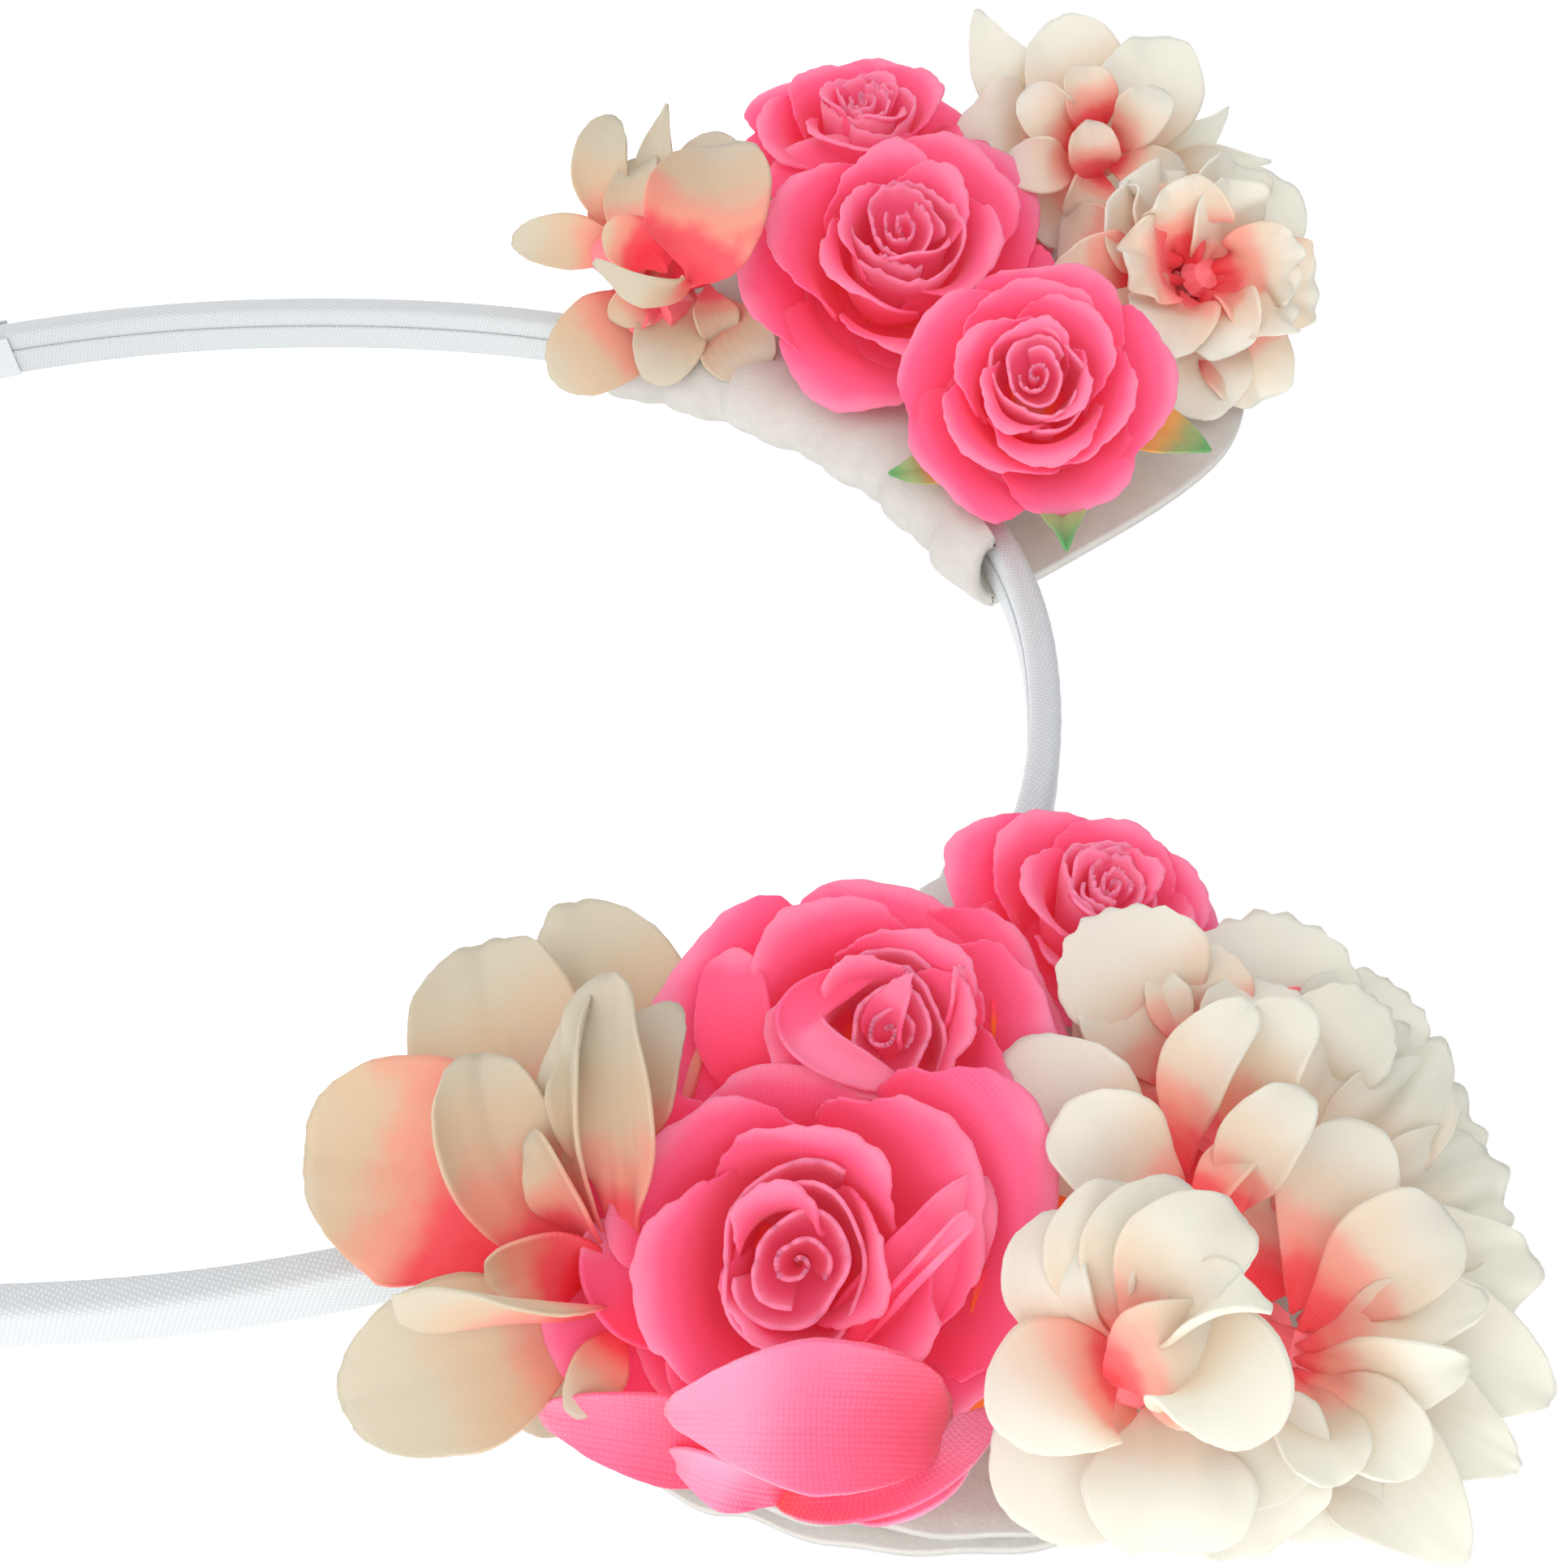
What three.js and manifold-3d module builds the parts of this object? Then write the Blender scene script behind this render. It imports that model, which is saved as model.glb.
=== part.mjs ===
// A flower-ear headband: a ribbon-covered plastic band with a felt ear folded over it on each side,
// and fabric roses and blossoms glued on the front of both ears.
// X is across the head, -Y is the front and +Z is up. Left and right are the wearer's, so left is +X.
// The origin is the centre of the head opening, at the level where the band is widest.

import * as THREE from 'three';
import { mergeVertices } from 'three/addons/utils/BufferGeometryUtils.js';
import Module from 'manifold-3d';

// Driving dimensions, in millimetres and degrees.

// The band's inner face.
const HALF_SPAN = 67; // from the middle of the head to the inner face, at the widest level
const CROWN_RISE = 94.7; // from the widest level up to the inner face at the crown
const SHOULDER_POWER = 2.2; // 2 makes a plain half ellipse, and more makes fuller shoulders
const LEG_DROP = 40; // from the widest level down to the tips
const LEG_TURN_IN = 6.4; // how far a tip stands nearer the middle than the widest level does

// The band's layers.
const CORE_WIDTH = 5;
const CORE_THICKNESS = 2;
const RIBBON_THICKNESS = 0.3;
const RIBBON_CORNER = 0.7;
const TIP_FOLD_LENGTH = 9;
const CLEARANCE = 0.3; // between any two pieces that touch on the real object
const BAND_STEPS = 72;

// The felt ears.
const FELT_THICKNESS = 1.4;
const FOLD_REACH = 5; // how far the fold hangs inside the band's inner face
const FOLD_ROUNDING = 1.5;
const EAR_REACH = 54; // from the band's inner face past the ear's outermost point
// Places on an ear are given as [distance along the band from the crown, distance out from its inner face].
const EAR_LOW_END = [94.5, 2.7]; // where the ear's outer edge meets the band
const EAR_HIGH_END = [19.8, -1.4]; // where its crown-side edge meets the band
const EAR_OUTER_EDGE = [[84.6, 16.5], [76.3, 26.7], [64.7, 37.8], [54.5, 46.6], [45.3, 50], [36.4, 47.3]];
const EAR_CORNER = [27.1, 35.6];
const FRONT_SETBACK = 9; // the front layer stops this far short of the crown-side edge
const EAR_STEPS = 16;

// The roses, as shares of the head's radius.
const ROSE_DEPTH = 0.6;
const ROSE_WALL = 0.19;
const ROSE_RISE = 0.12; // how much higher each ring of petals stands than the one round it
const ROSE_LEAN = 0.25; // how far a lip leans inwards for each millimetre it rises
const ROSE_SEGMENTS = 12;
const ROSE_STEM_RADIUS = 3.2;

// The blossoms.
const PETAL_THICKNESS = 1.1;
const PETAL_NOTCH = 0.62; // the radius between two petals, as a share of the whorl's
const INNER_WHORL = 0.66; // the inner whorl's radius, as a share of the outer one's
const OUTER_SLOPE = 0.45; // how much a whorl rises for each millimetre outwards
const INNER_SLOPE = 0.8;
const STALK_RADIUS = 1.2;
const FOOT_RADIUS = 2.6;
const BEAD_HEIGHT = 2.2;

// The green sepals under one rose.
const SEPAL_COUNT = 5;
const SEPAL_REACH = 1.22; // as a share of the rose's radius
const SEPAL_THICKNESS = 0.6;

// Each flower: where its base is along the band and out from it, how far it stands in front of the felt,
// the way it faces (turned towards +X, then raised), and its radius.
const LEFT_FLOWERS = [
  { name: 'left_rose_1', kind: 'rose', base: [62, 17.7, 2.7], faces: [30, 0], radius: 16.5 },
  { name: 'left_blossom_2', kind: 'blossom', base: [52.2, 39.4, 7.7], faces: [45, -5], radius: 13, petals: 6 },
  { name: 'left_rose_2', kind: 'rose', base: [49.3, 6.2, 2.7], faces: [25, 5], radius: 15.5 },
  { name: 'left_blossom_1', kind: 'blossom', base: [75.6, 10.7, 3.7], faces: [25, -18], radius: 21, petals: 7 },
  { name: 'left_blossom_3', kind: 'blossom', base: [46.1, 44.2, 3.2], faces: [38, 32], radius: 20, petals: 7 },
  { name: 'left_blossom_4', kind: 'blossom', base: [40.2, 29.4, 5.7], faces: [30, 12], radius: 14, petals: 5 },
  { name: 'left_blossom_5', kind: 'blossom', base: [32.3, 28.8, 3.2], faces: [12, 32], radius: 16, petals: 6 },
  { name: 'left_rose_3', kind: 'rose', base: [32.7, 12.8, 2.2], faces: [0, 12], radius: 11.8 },
];
const RIGHT_FLOWERS = [
  { name: 'right_rose_1', kind: 'rose', base: [31.9, 11, 3.7], faces: [35, 0], radius: 14.5, sepals: true },
  { name: 'right_rose_2', kind: 'rose', base: [54.7, 15.4, 2.7], faces: [26, 5], radius: 18 },
  { name: 'right_blossom_1', kind: 'blossom', base: [82.4, 4.7, 5.2], faces: [40, -15], radius: 16, petals: 6 },
  { name: 'right_blossom_3', kind: 'blossom', base: [37.5, 38.1, 4.7], faces: [40, 28], radius: 16, petals: 6 },
  { name: 'right_rose_3', kind: 'rose', base: [64, 25.7, 7.7], faces: [5, 5], radius: 14.5 },
  { name: 'right_blossom_4', kind: 'blossom', base: [51.8, 42.6, 7.2], faces: [-5, 14], radius: 15, petals: 7 },
  { name: 'right_blossom_2', kind: 'blossom', base: [76.6, -0.5, 2.2], faces: [60, -35], radius: 14, petals: 5 },
];

// Sizes that follow from those above.
const BAND_WIDTH = CORE_WIDTH + 2 * (CLEARANCE + RIBBON_THICKNESS);
const BAND_THICKNESS = CORE_THICKNESS + 2 * (CLEARANCE + RIBBON_THICKNESS);
const PAD_HALF = BAND_WIDTH / 2 + CLEARANCE + FELT_THICKNESS;

const wasm = await Module();
wasm.setup();

// Materials.
const finish = (color, roughness) => new THREE.MeshStandardMaterial({ color, roughness, metalness: 0 });
const plastic = finish('#e9e6dd', 0.5);
const satin = finish('#eef0ee', 0.4);
const felt = finish('#f4f2ee', 0.95);
const pinkCloth = finish('#ee5f8d', 0.8);
const creamCloth = finish('#f7ecd9', 0.75);
const stemPlastic = finish('#e8b58f', 0.6);
const greenCloth = finish('#7fb070', 0.8);

// Geometry to solid and back.

function toSolid(geometry) {
  geometry.deleteAttribute('normal');
  geometry.deleteAttribute('uv');
  const merged = mergeVertices(geometry, 1e-4);
  const mesh = new wasm.Mesh({
    numProp: 3,
    vertProperties: new Float32Array(merged.attributes.position.array),
    triVerts: new Uint32Array(merged.index.array),
  });
  mesh.merge();
  return new wasm.Manifold(mesh);
}

function toMesh(name, solid, material) {
  const found = solid.getMesh();
  const geometry = new THREE.BufferGeometry();
  geometry.setAttribute('position', new THREE.BufferAttribute(found.vertProperties, 3));
  geometry.setIndex(new THREE.BufferAttribute(found.triVerts, 1));
  const mesh = new THREE.Mesh(geometry, material);
  mesh.name = name;
  return mesh;
}

// A cut can leave loose crumbs, so the largest body is the piece.
function largest(solid) {
  const bodies = solid.decompose();
  return bodies.reduce((best, body) => (body.volume() > best.volume() ? body : best));
}

function mirrored(solid) {
  return solid.mirror([1, 0, 0]);
}

// The band's inner face, from the left tip over the crown to the right tip.

class InnerFaceCurve extends THREE.Curve {
  arcLengthDivisions = 900;

  getPoint(t, target = new THREE.Vector3()) {
    const legShare = 0.12;
    const fromEnd = Math.min(t, 1 - t);
    if (fromEnd < legShare) {
      const drop = 1 - fromEnd / legShare;
      const x = HALF_SPAN - LEG_TURN_IN * drop * drop;
      return target.set(t < 0.5 ? x : -x, 0, -LEG_DROP * drop);
    }
    const angle = (Math.PI * (t - legShare)) / (1 - 2 * legShare);
    const across = Math.cos(angle);
    const power = 2 / SHOULDER_POWER;
    const x = HALF_SPAN * Math.sign(across) * Math.abs(across) ** power;
    return target.set(x, 0, CROWN_RISE * Math.abs(Math.sin(angle)) ** power);
  }
}

class Stretch extends THREE.Curve {
  constructor(whole, from, to) {
    super();
    Object.assign(this, { whole, from, to });
  }

  getPoint(t, target = new THREE.Vector3()) {
    return this.whole.getPointAt(this.from + (this.to - this.from) * t, target);
  }
}

const innerFace = new InnerFaceCurve();

// A section's first coordinate runs across the band's width and its second outwards from the inner face.
function sweep(section, path, steps) {
  return toSolid(new THREE.ExtrudeGeometry(section, { steps, bevelEnabled: false, extrudePath: path }));
}

function rectangle(halfWidth, low, high, Kind = THREE.Shape) {
  const corners = [[-halfWidth, low], [halfWidth, low], [halfWidth, high], [-halfWidth, high]];
  return new Kind(corners.map((p) => new THREE.Vector2(...p)));
}

function bevelledRectangle(halfWidth, low, high, bevel) {
  const corners = [
    [-halfWidth + bevel, low], [halfWidth - bevel, low], [halfWidth, low + bevel], [halfWidth, high - bevel],
    [halfWidth - bevel, high], [-halfWidth + bevel, high], [-halfWidth, high - bevel], [-halfWidth, low + bevel],
  ];
  return new THREE.Shape(corners.map((p) => new THREE.Vector2(...p)));
}

// The plastic strip, the ribbon sleeve round it, and the ribbon's end folded over each tip.

function bandCore() {
  const low = RIBBON_THICKNESS + CLEARANCE;
  return sweep(rectangle(CORE_WIDTH / 2, low, low + CORE_THICKNESS), innerFace, BAND_STEPS);
}

function ribbonSleeve() {
  const bevel = RIBBON_CORNER * (2 - Math.SQRT2);
  const section = bevelledRectangle(BAND_WIDTH / 2, 0, BAND_THICKNESS, bevel);
  const wall = RIBBON_THICKNESS;
  section.holes.push(rectangle(BAND_WIDTH / 2 - wall, wall, BAND_THICKNESS - wall, THREE.Path));
  return sweep(section, innerFace, BAND_STEPS);
}

function tipFold() {
  const near = -CLEARANCE;
  const far = BAND_THICKNESS + CLEARANCE;
  const wall = RIBBON_THICKNESS * 1.2;
  const outline = new THREE.Shape([
    [TIP_FOLD_LENGTH, near - wall], [TIP_FOLD_LENGTH, near], [near, near], [near, far],
    [TIP_FOLD_LENGTH, far], [TIP_FOLD_LENGTH, far + wall], [near - wall, far + wall], [near - wall, near - wall],
  ].map((p) => new THREE.Vector2(...p)));
  const width = BAND_WIDTH - RIBBON_CORNER;
  const geometry = new THREE.ExtrudeGeometry(outline, { depth: width, bevelEnabled: false });
  geometry.translate(0, 0, -width / 2);
  const along = innerFace.getTangentAt(0);
  const depth = new THREE.Vector3(0, 1, 0);
  const outward = new THREE.Vector3().crossVectors(depth, along);
  const place = new THREE.Matrix4().makeBasis(along, outward, depth);
  geometry.applyMatrix4(place.setPosition(innerFace.getPointAt(0)));
  return toSolid(geometry);
}

// An ear is felt folded up round the band from inside and glued to itself above it.

// How far round the inner face a place on the left half lies, as a share of the whole length.
function share(along) {
  return 0.5 - along / innerFace.getLength();
}

// The place in the XZ plane that lies so far along the left half of the band and so far out from it.
function besideBand([along, out]) {
  const point = innerFace.getPointAt(share(along));
  const towardsCrown = innerFace.getTangentAt(share(along));
  return new THREE.Vector2(point.x + out * towardsCrown.z, point.z - out * towardsCrown.x);
}

const earStretch = new Stretch(innerFace, share(EAR_LOW_END[0]) - 0.03, share(EAR_HIGH_END[0]) + 0.03);
const lowEnd = besideBand(EAR_LOW_END);
const highEnd = besideBand(EAR_HIGH_END);
const corner = besideBand(EAR_CORNER);

function wedgeSection(grow) {
  const half = PAD_HALF + grow;
  const edge = FELT_THICKNESS + grow;
  const low = -FOLD_REACH - grow;
  const shoulder = BAND_THICKNESS + CLEARANCE + FELT_THICKNESS;
  return new THREE.Shape([
    [-half + FOLD_ROUNDING, low], [half - FOLD_ROUNDING, low], [half, low + FOLD_ROUNDING], [half, shoulder],
    [edge, EAR_REACH], [-edge, EAR_REACH], [-half, shoulder], [-half, low + FOLD_ROUNDING],
  ].map((p) => new THREE.Vector2(...p)));
}

// The ear's outline in the XZ plane, with its base run well inside the band so that the fold sets that edge.
function earOutline(grow) {
  const edge = [...EAR_OUTER_EDGE.map(besideBand), corner];
  const middle = edge.reduce((sum, point) => sum.add(point), lowEnd.clone()).divideScalar(edge.length + 1);
  const spread = (point) => point.clone().add(point.clone().sub(middle).setLength(grow));
  const inside = highEnd.clone().lerp(corner, -0.4);
  const outline = new THREE.Shape();
  outline.moveTo(lowEnd.x - 20, lowEnd.y + 8 - grow);
  outline.lineTo(...spread(lowEnd));
  outline.splineThru(edge.map(spread));
  outline.lineTo(...spread(highEnd));
  outline.lineTo(...inside);
  return outline;
}

function prismAcross(outline, yFront, yBack, curveSegments = 3) {
  const settings = { depth: yBack - yFront, bevelEnabled: false, curveSegments };
  const geometry = new THREE.ExtrudeGeometry(outline, settings);
  geometry.rotateX(Math.PI / 2);
  geometry.translate(0, yBack, 0);
  return toSolid(geometry);
}

function earBlock(grow) {
  const reach = PAD_HALF + 5;
  const block = sweep(wedgeSection(grow), earStretch, EAR_STEPS);
  return largest(block.intersect(prismAcross(earOutline(grow), -reach, reach)));
}

// The front layer is cut back at the crown side, so the band comes out in front of the back layer.
function frontSetback() {
  const along = corner.clone().sub(highEnd).normalize();
  const across = new THREE.Vector2(along.y, -along.x);
  const at = (a, b) => highEnd.clone().addScaledVector(along, a).addScaledVector(across, b);
  const outline = new THREE.Shape([at(-20, -30), at(-20, FRONT_SETBACK), at(60, -2), at(60, -30)]);
  return prismAcross(outline, -PAD_HALF - 5, BAND_WIDTH / 2 + CLEARANCE);
}

function feltEar() {
  const channel = sweep(rectangle(BAND_WIDTH / 2 + CLEARANCE, -CLEARANCE, BAND_THICKNESS + CLEARANCE), innerFace,
    BAND_STEPS);
  return largest(earBlock(0).subtract(channel).subtract(frontSetback()));
}

// Flowers are made facing +Z with their base at the origin, then turned to face the front and placed.

function place(geometry, flower) {
  const [turn, raise] = flower.faces.map(THREE.MathUtils.degToRad);
  const facing = new THREE.Vector3(
    Math.sin(turn) * Math.cos(raise),
    -Math.cos(turn) * Math.cos(raise),
    Math.sin(raise),
  );
  const turned = new THREE.Quaternion().setFromUnitVectors(new THREE.Vector3(0, 0, 1), facing);
  const base = besideBand(flower.base);
  geometry.applyQuaternion(turned);
  geometry.translate(flower.side * base.x, -PAD_HALF - flower.base[2], base.y);
  return toSolid(geometry);
}

function turnedOn(profile, segments) {
  const geometry = new THREE.LatheGeometry(profile.map((p) => new THREE.Vector2(...p)), segments);
  return geometry.rotateX(Math.PI / 2);
}

// A quarter of an ellipse from the axis at the given height out to the rim.
function hollow(radius, depth, height) {
  const points = [];
  for (let i = 0; i <= 4; i += 1) {
    const angle = (Math.PI / 8) * i;
    points.push([radius * Math.sin(angle), height + depth * (1 - Math.cos(angle))]);
  }
  return points;
}

// One ring of rose petals: a bowl whose lip stands above the widest level.
function roseBowl(radius, depth, height, wall, lip) {
  const top = height + depth + lip;
  const edge = radius - ROSE_LEAN * lip;
  const outside = [...hollow(radius, depth, height), [edge, top]];
  const inside = [...hollow(radius - wall, depth - wall, height + wall), [edge - wall, top]];
  return turnedOn([...outside, ...inside.reverse()], ROSE_SEGMENTS);
}

function roseHeart(radius, depth, height, lip) {
  const top = height + depth + lip;
  const edge = radius - ROSE_LEAN * lip;
  const profile = [...hollow(radius, depth, height), [edge, top], [radius * 0.4, top + radius * 0.3]];
  return turnedOn([...profile, [0, top + radius * 0.34]], ROSE_SEGMENTS);
}

// The whole head as one lump, which neighbours are cut back from.
function roseLump(radius, depth, lip, grow) {
  const heart = radius * 0.9;
  const top = depth + lip + grow;
  const profile = [...hollow(radius + grow, depth + grow, -grow), [radius + grow, depth + lip * 0.4]];
  return turnedOn([...profile, [heart * 0.85, top + grow], [heart * 0.4, top + radius * 0.2], [0, top + radius * 0.24]],
    ROSE_SEGMENTS);
}

// A stem starts inside the ear, where it is then cut off at the felt.
function stemLength(flower) {
  const [turn, raise] = flower.faces.map(THREE.MathUtils.degToRad);
  return (PAD_HALF + flower.base[2] - 1) / (Math.cos(turn) * Math.cos(raise));
}

function stemDown(flower, radius, top) {
  const length = stemLength(flower);
  const geometry = new THREE.CylinderGeometry(radius, radius, length + top, 10);
  geometry.rotateX(Math.PI / 2);
  return geometry.translate(0, 0, (top - length) / 2);
}

function roseParts(flower) {
  const { radius } = flower;
  const wall = ROSE_WALL * radius;
  const depth = ROSE_DEPTH * radius;
  const lip = ROSE_RISE * radius;
  const inset = wall + CLEARANCE;
  const parts = [
    ['outer_petals', roseBowl(radius, depth, 0, wall, lip), pinkCloth],
    ['inner_petals', roseBowl(radius - inset, depth - inset, inset, wall, lip * 2), pinkCloth],
    ['bud', roseHeart(radius - 2 * inset, depth - 2 * inset, 2 * inset, lip * 3), pinkCloth],
  ];
  const lump = place(roseLump(radius, depth, lip * 3, CLEARANCE), flower);
  const stem = place(stemDown(flower, ROSE_STEM_RADIUS, depth / 2), flower).subtract(lump);
  const solids = parts.map(([part, geometry, material]) => [part, place(geometry, flower), material]);
  const blockers = [lump];
  if (flower.sepals) {
    const sepals = place(sepalStar(radius, 0), flower).subtract(lump);
    solids.push(['sepals', sepals, greenCloth]);
    blockers.push(place(sepalStar(radius, CLEARANCE), flower));
  }
  const grownStem = place(stemDown(flower, ROSE_STEM_RADIUS + CLEARANCE, depth / 2), flower);
  solids.push(['stem', flower.sepals ? stem.subtract(blockers[1]) : stem, stemPlastic]);
  return { solids, blockers: [...blockers, grownStem] };
}

// A plate coned up from a round hole to a lobed edge, with one lobe for each petal.
function lobedCone({ radius, lobes, notch, hole, slope, height, thickness, turn, grow }) {
  const low = height - grow;
  const high = height + thickness + grow;
  const centre = hole > 0 ? hole - grow : 0;
  const profile = [[centre, low], [radius, low], [radius, high], [centre, high]];
  const closed = hole > 0 ? [...profile, profile[0]] : profile;
  const geometry = turnedOn(closed, 4 * lobes);
  const points = geometry.attributes.position;
  for (let i = 0; i < points.count; i += 1) {
    const out = Math.hypot(points.getX(i), points.getY(i));
    const angle = Math.atan2(points.getY(i), points.getX(i));
    const lobe = Math.sqrt(Math.abs(Math.cos((lobes * angle) / 2)));
    const edge = radius * (notch + (1 - notch) * lobe) + grow;
    const reach = out > radius / 2 ? edge : out;
    points.setXYZ(i, reach * Math.cos(angle + turn), reach * Math.sin(angle + turn), points.getZ(i) + slope * reach);
  }
  return geometry;
}

function whorl(radius, petals, slope, height, turn, grow) {
  const hole = STALK_RADIUS + CLEARANCE;
  const shape = { radius, lobes: petals, notch: PETAL_NOTCH, hole, slope, height, turn, grow };
  return lobedCone({ ...shape, thickness: PETAL_THICKNESS });
}

function sepalStar(radius, grow) {
  const height = -CLEARANCE - SEPAL_THICKNESS;
  const shape = { radius: radius * SEPAL_REACH, lobes: SEPAL_COUNT, notch: 0.3, hole: 0, slope: 0.05, height };
  return lobedCone({ ...shape, thickness: SEPAL_THICKNESS, turn: 0.4, grow });
}

// One moulded stem goes through both whorls and ends in the stamen bead.
function blossomStem(flower, innerHeight, grow) {
  const length = stemLength(flower);
  const bead = innerHeight + PETAL_THICKNESS + CLEARANCE + INNER_SLOPE * FOOT_RADIUS;
  const profile = [
    [0, -length], [FOOT_RADIUS + grow, -length], [FOOT_RADIUS + grow, -CLEARANCE], [STALK_RADIUS + grow, -CLEARANCE],
    [STALK_RADIUS + grow, bead - grow], [FOOT_RADIUS + grow, bead - grow],
    [FOOT_RADIUS * 0.7 + grow, bead + BEAD_HEIGHT * 0.7 + grow], [0, bead + BEAD_HEIGHT + grow],
  ];
  return turnedOn(profile, 10);
}

function blossomParts(flower) {
  const { radius, petals } = flower;
  const innerHeight = PETAL_THICKNESS + CLEARANCE;
  const inner = radius * INNER_WHORL;
  const halfPetal = Math.PI / petals;
  const outerWhorl = (grow) => whorl(radius, petals, OUTER_SLOPE, 0, 0, grow);
  const innerWhorl = (grow) => whorl(inner, petals, INNER_SLOPE, innerHeight, halfPetal, grow);
  const stem = (grow) => blossomStem(flower, innerHeight, grow);
  return {
    solids: [
      ['outer_petals', place(outerWhorl(0), flower), creamCloth],
      ['inner_petals', place(innerWhorl(0), flower), creamCloth],
      ['stem', place(stem(0), flower), stemPlastic],
    ],
    blockers: [outerWhorl, innerWhorl, stem].map((make) => place(make(CLEARANCE), flower)),
  };
}

// Each flower is pressed against those already glued on, so it is cut back from them.
function cluster(flowers, side, keepOut) {
  const group = new THREE.Group();
  const taken = [...keepOut];
  for (const flower of flowers.map((each) => ({ ...each, side }))) {
    const { solids, blockers } = flower.kind === 'rose' ? roseParts(flower) : blossomParts(flower);
    for (const [part, solid, material] of solids) {
      const cut = taken.reduce((left, blocker) => left.subtract(blocker), solid);
      group.add(toMesh(`${flower.name}_${part}`, largest(cut), material));
    }
    taken.push(...blockers);
  }
  return group;
}

const group = new THREE.Group();
const leftFelt = feltEar();
const leftTip = tipFold();
group.add(toMesh('band_core', bandCore(), plastic));
group.add(toMesh('ribbon_sleeve', ribbonSleeve(), satin));
group.add(toMesh('left_tip_fold', leftTip, satin));
group.add(toMesh('right_tip_fold', mirrored(leftTip), satin));
group.add(toMesh('left_felt_ear', leftFelt, felt));
group.add(toMesh('right_felt_ear', mirrored(leftFelt), felt));

const half = BAND_WIDTH / 2 + CLEARANCE;
const bandSpace = sweep(rectangle(half, -CLEARANCE, BAND_THICKNESS + CLEARANCE), innerFace, BAND_STEPS);
const leftSpace = earBlock(CLEARANCE);
group.add(cluster(LEFT_FLOWERS, 1, [leftSpace, bandSpace]));
group.add(cluster(RIGHT_FLOWERS, -1, [mirrored(leftSpace), bandSpace]));

export default group;
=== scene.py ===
"""A flower-ear headband: a ribbon-covered band with two folded felt ears of fabric roses and blossoms.

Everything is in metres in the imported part's frame; the tables below are in millimetres.
"""

import math

import bpy
import numpy as np
from mathutils import Matrix, Vector


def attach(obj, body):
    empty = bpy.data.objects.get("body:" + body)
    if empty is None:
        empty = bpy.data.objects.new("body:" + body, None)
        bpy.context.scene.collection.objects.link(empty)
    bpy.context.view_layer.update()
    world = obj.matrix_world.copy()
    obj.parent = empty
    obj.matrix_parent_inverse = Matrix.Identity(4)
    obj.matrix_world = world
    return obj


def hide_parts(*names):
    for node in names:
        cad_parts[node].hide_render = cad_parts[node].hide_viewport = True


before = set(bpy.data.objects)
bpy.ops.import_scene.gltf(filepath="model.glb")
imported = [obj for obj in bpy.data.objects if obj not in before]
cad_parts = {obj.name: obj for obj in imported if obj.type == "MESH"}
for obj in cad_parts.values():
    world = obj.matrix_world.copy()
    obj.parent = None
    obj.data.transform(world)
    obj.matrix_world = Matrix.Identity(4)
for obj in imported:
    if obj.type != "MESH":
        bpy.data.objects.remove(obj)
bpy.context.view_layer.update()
bpy.ops.object.select_all(action="DESELECT")

# --- Camera, lamps and table --------------------------------------------------------------
# A white light table with one broad soft lamp on the wearer's left and a second in front.
# None of it belongs to the headband.

MM = 0.001
CAMERA_AZIMUTH = math.radians(41.509)
CAMERA_ELEVATION = math.radians(3.891)
CAMERA_ROLL = math.radians(-0.399)
CAMERA_TARGET = Vector((11.008, 0.0, 70.241)) * MM
CAMERA_DISTANCE = 193.102 * MM
CAMERA_SENSOR = 36.0
CAMERA_LENS = 44.72
TABLE_LEVEL = -43.0 * MM

towards_camera = Vector((
    math.sin(CAMERA_AZIMUTH) * math.cos(CAMERA_ELEVATION),
    -math.cos(CAMERA_AZIMUTH) * math.cos(CAMERA_ELEVATION),
    math.sin(CAMERA_ELEVATION),
))
level_right = Vector((math.cos(CAMERA_AZIMUTH), math.sin(CAMERA_AZIMUTH), 0.0))
true_up = towards_camera.cross(level_right)
rolled_right = level_right * math.cos(CAMERA_ROLL) + true_up * math.sin(CAMERA_ROLL)
rolled_up = -level_right * math.sin(CAMERA_ROLL) + true_up * math.cos(CAMERA_ROLL)

# The camera lies on its side, so the crown's height runs across its view.
camera = bpy.data.objects.new("camera", bpy.data.cameras.new("camera"))
bpy.context.collection.objects.link(camera)
turned = Matrix((rolled_up, -rolled_right, towards_camera)).transposed()
camera.matrix_world = Matrix.Translation(CAMERA_TARGET + towards_camera * CAMERA_DISTANCE) @ turned.to_4x4()
camera.data.sensor_width = CAMERA_SENSOR
camera.data.lens = CAMERA_LENS
camera.data.clip_start = 0.005
bpy.context.scene.camera = camera
bpy.context.scene.view_settings.view_transform = "Standard"


def linear(hex_colour):
    """An sRGB hex value as a linear RGBA colour."""
    channels = [int(hex_colour[i:i + 2], 16) / 255.0 for i in (1, 3, 5)]
    return tuple(c / 12.92 if c <= 0.04045 else ((c + 0.055) / 1.055) ** 2.4 for c in channels) + (1.0,)


def add_node(tree, kind, settings=None, links=None):
    """Adds a node. Settings name its properties, and links name its sockets with a value or a socket."""
    made = tree.nodes.new(kind)
    for name, value in (settings or {}).items():
        setattr(made, name, value)
    for name, value in (links or {}).items():
        socket = made.inputs[name]
        if isinstance(value, bpy.types.NodeSocket):
            tree.links.new(value, socket)
        else:
            socket.default_value = value
    return made


def new_material(name):
    """An empty node material and its tree."""
    material = bpy.data.materials.new(name)
    material.use_nodes = True
    material.node_tree.nodes.clear()
    return material, material.node_tree


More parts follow.
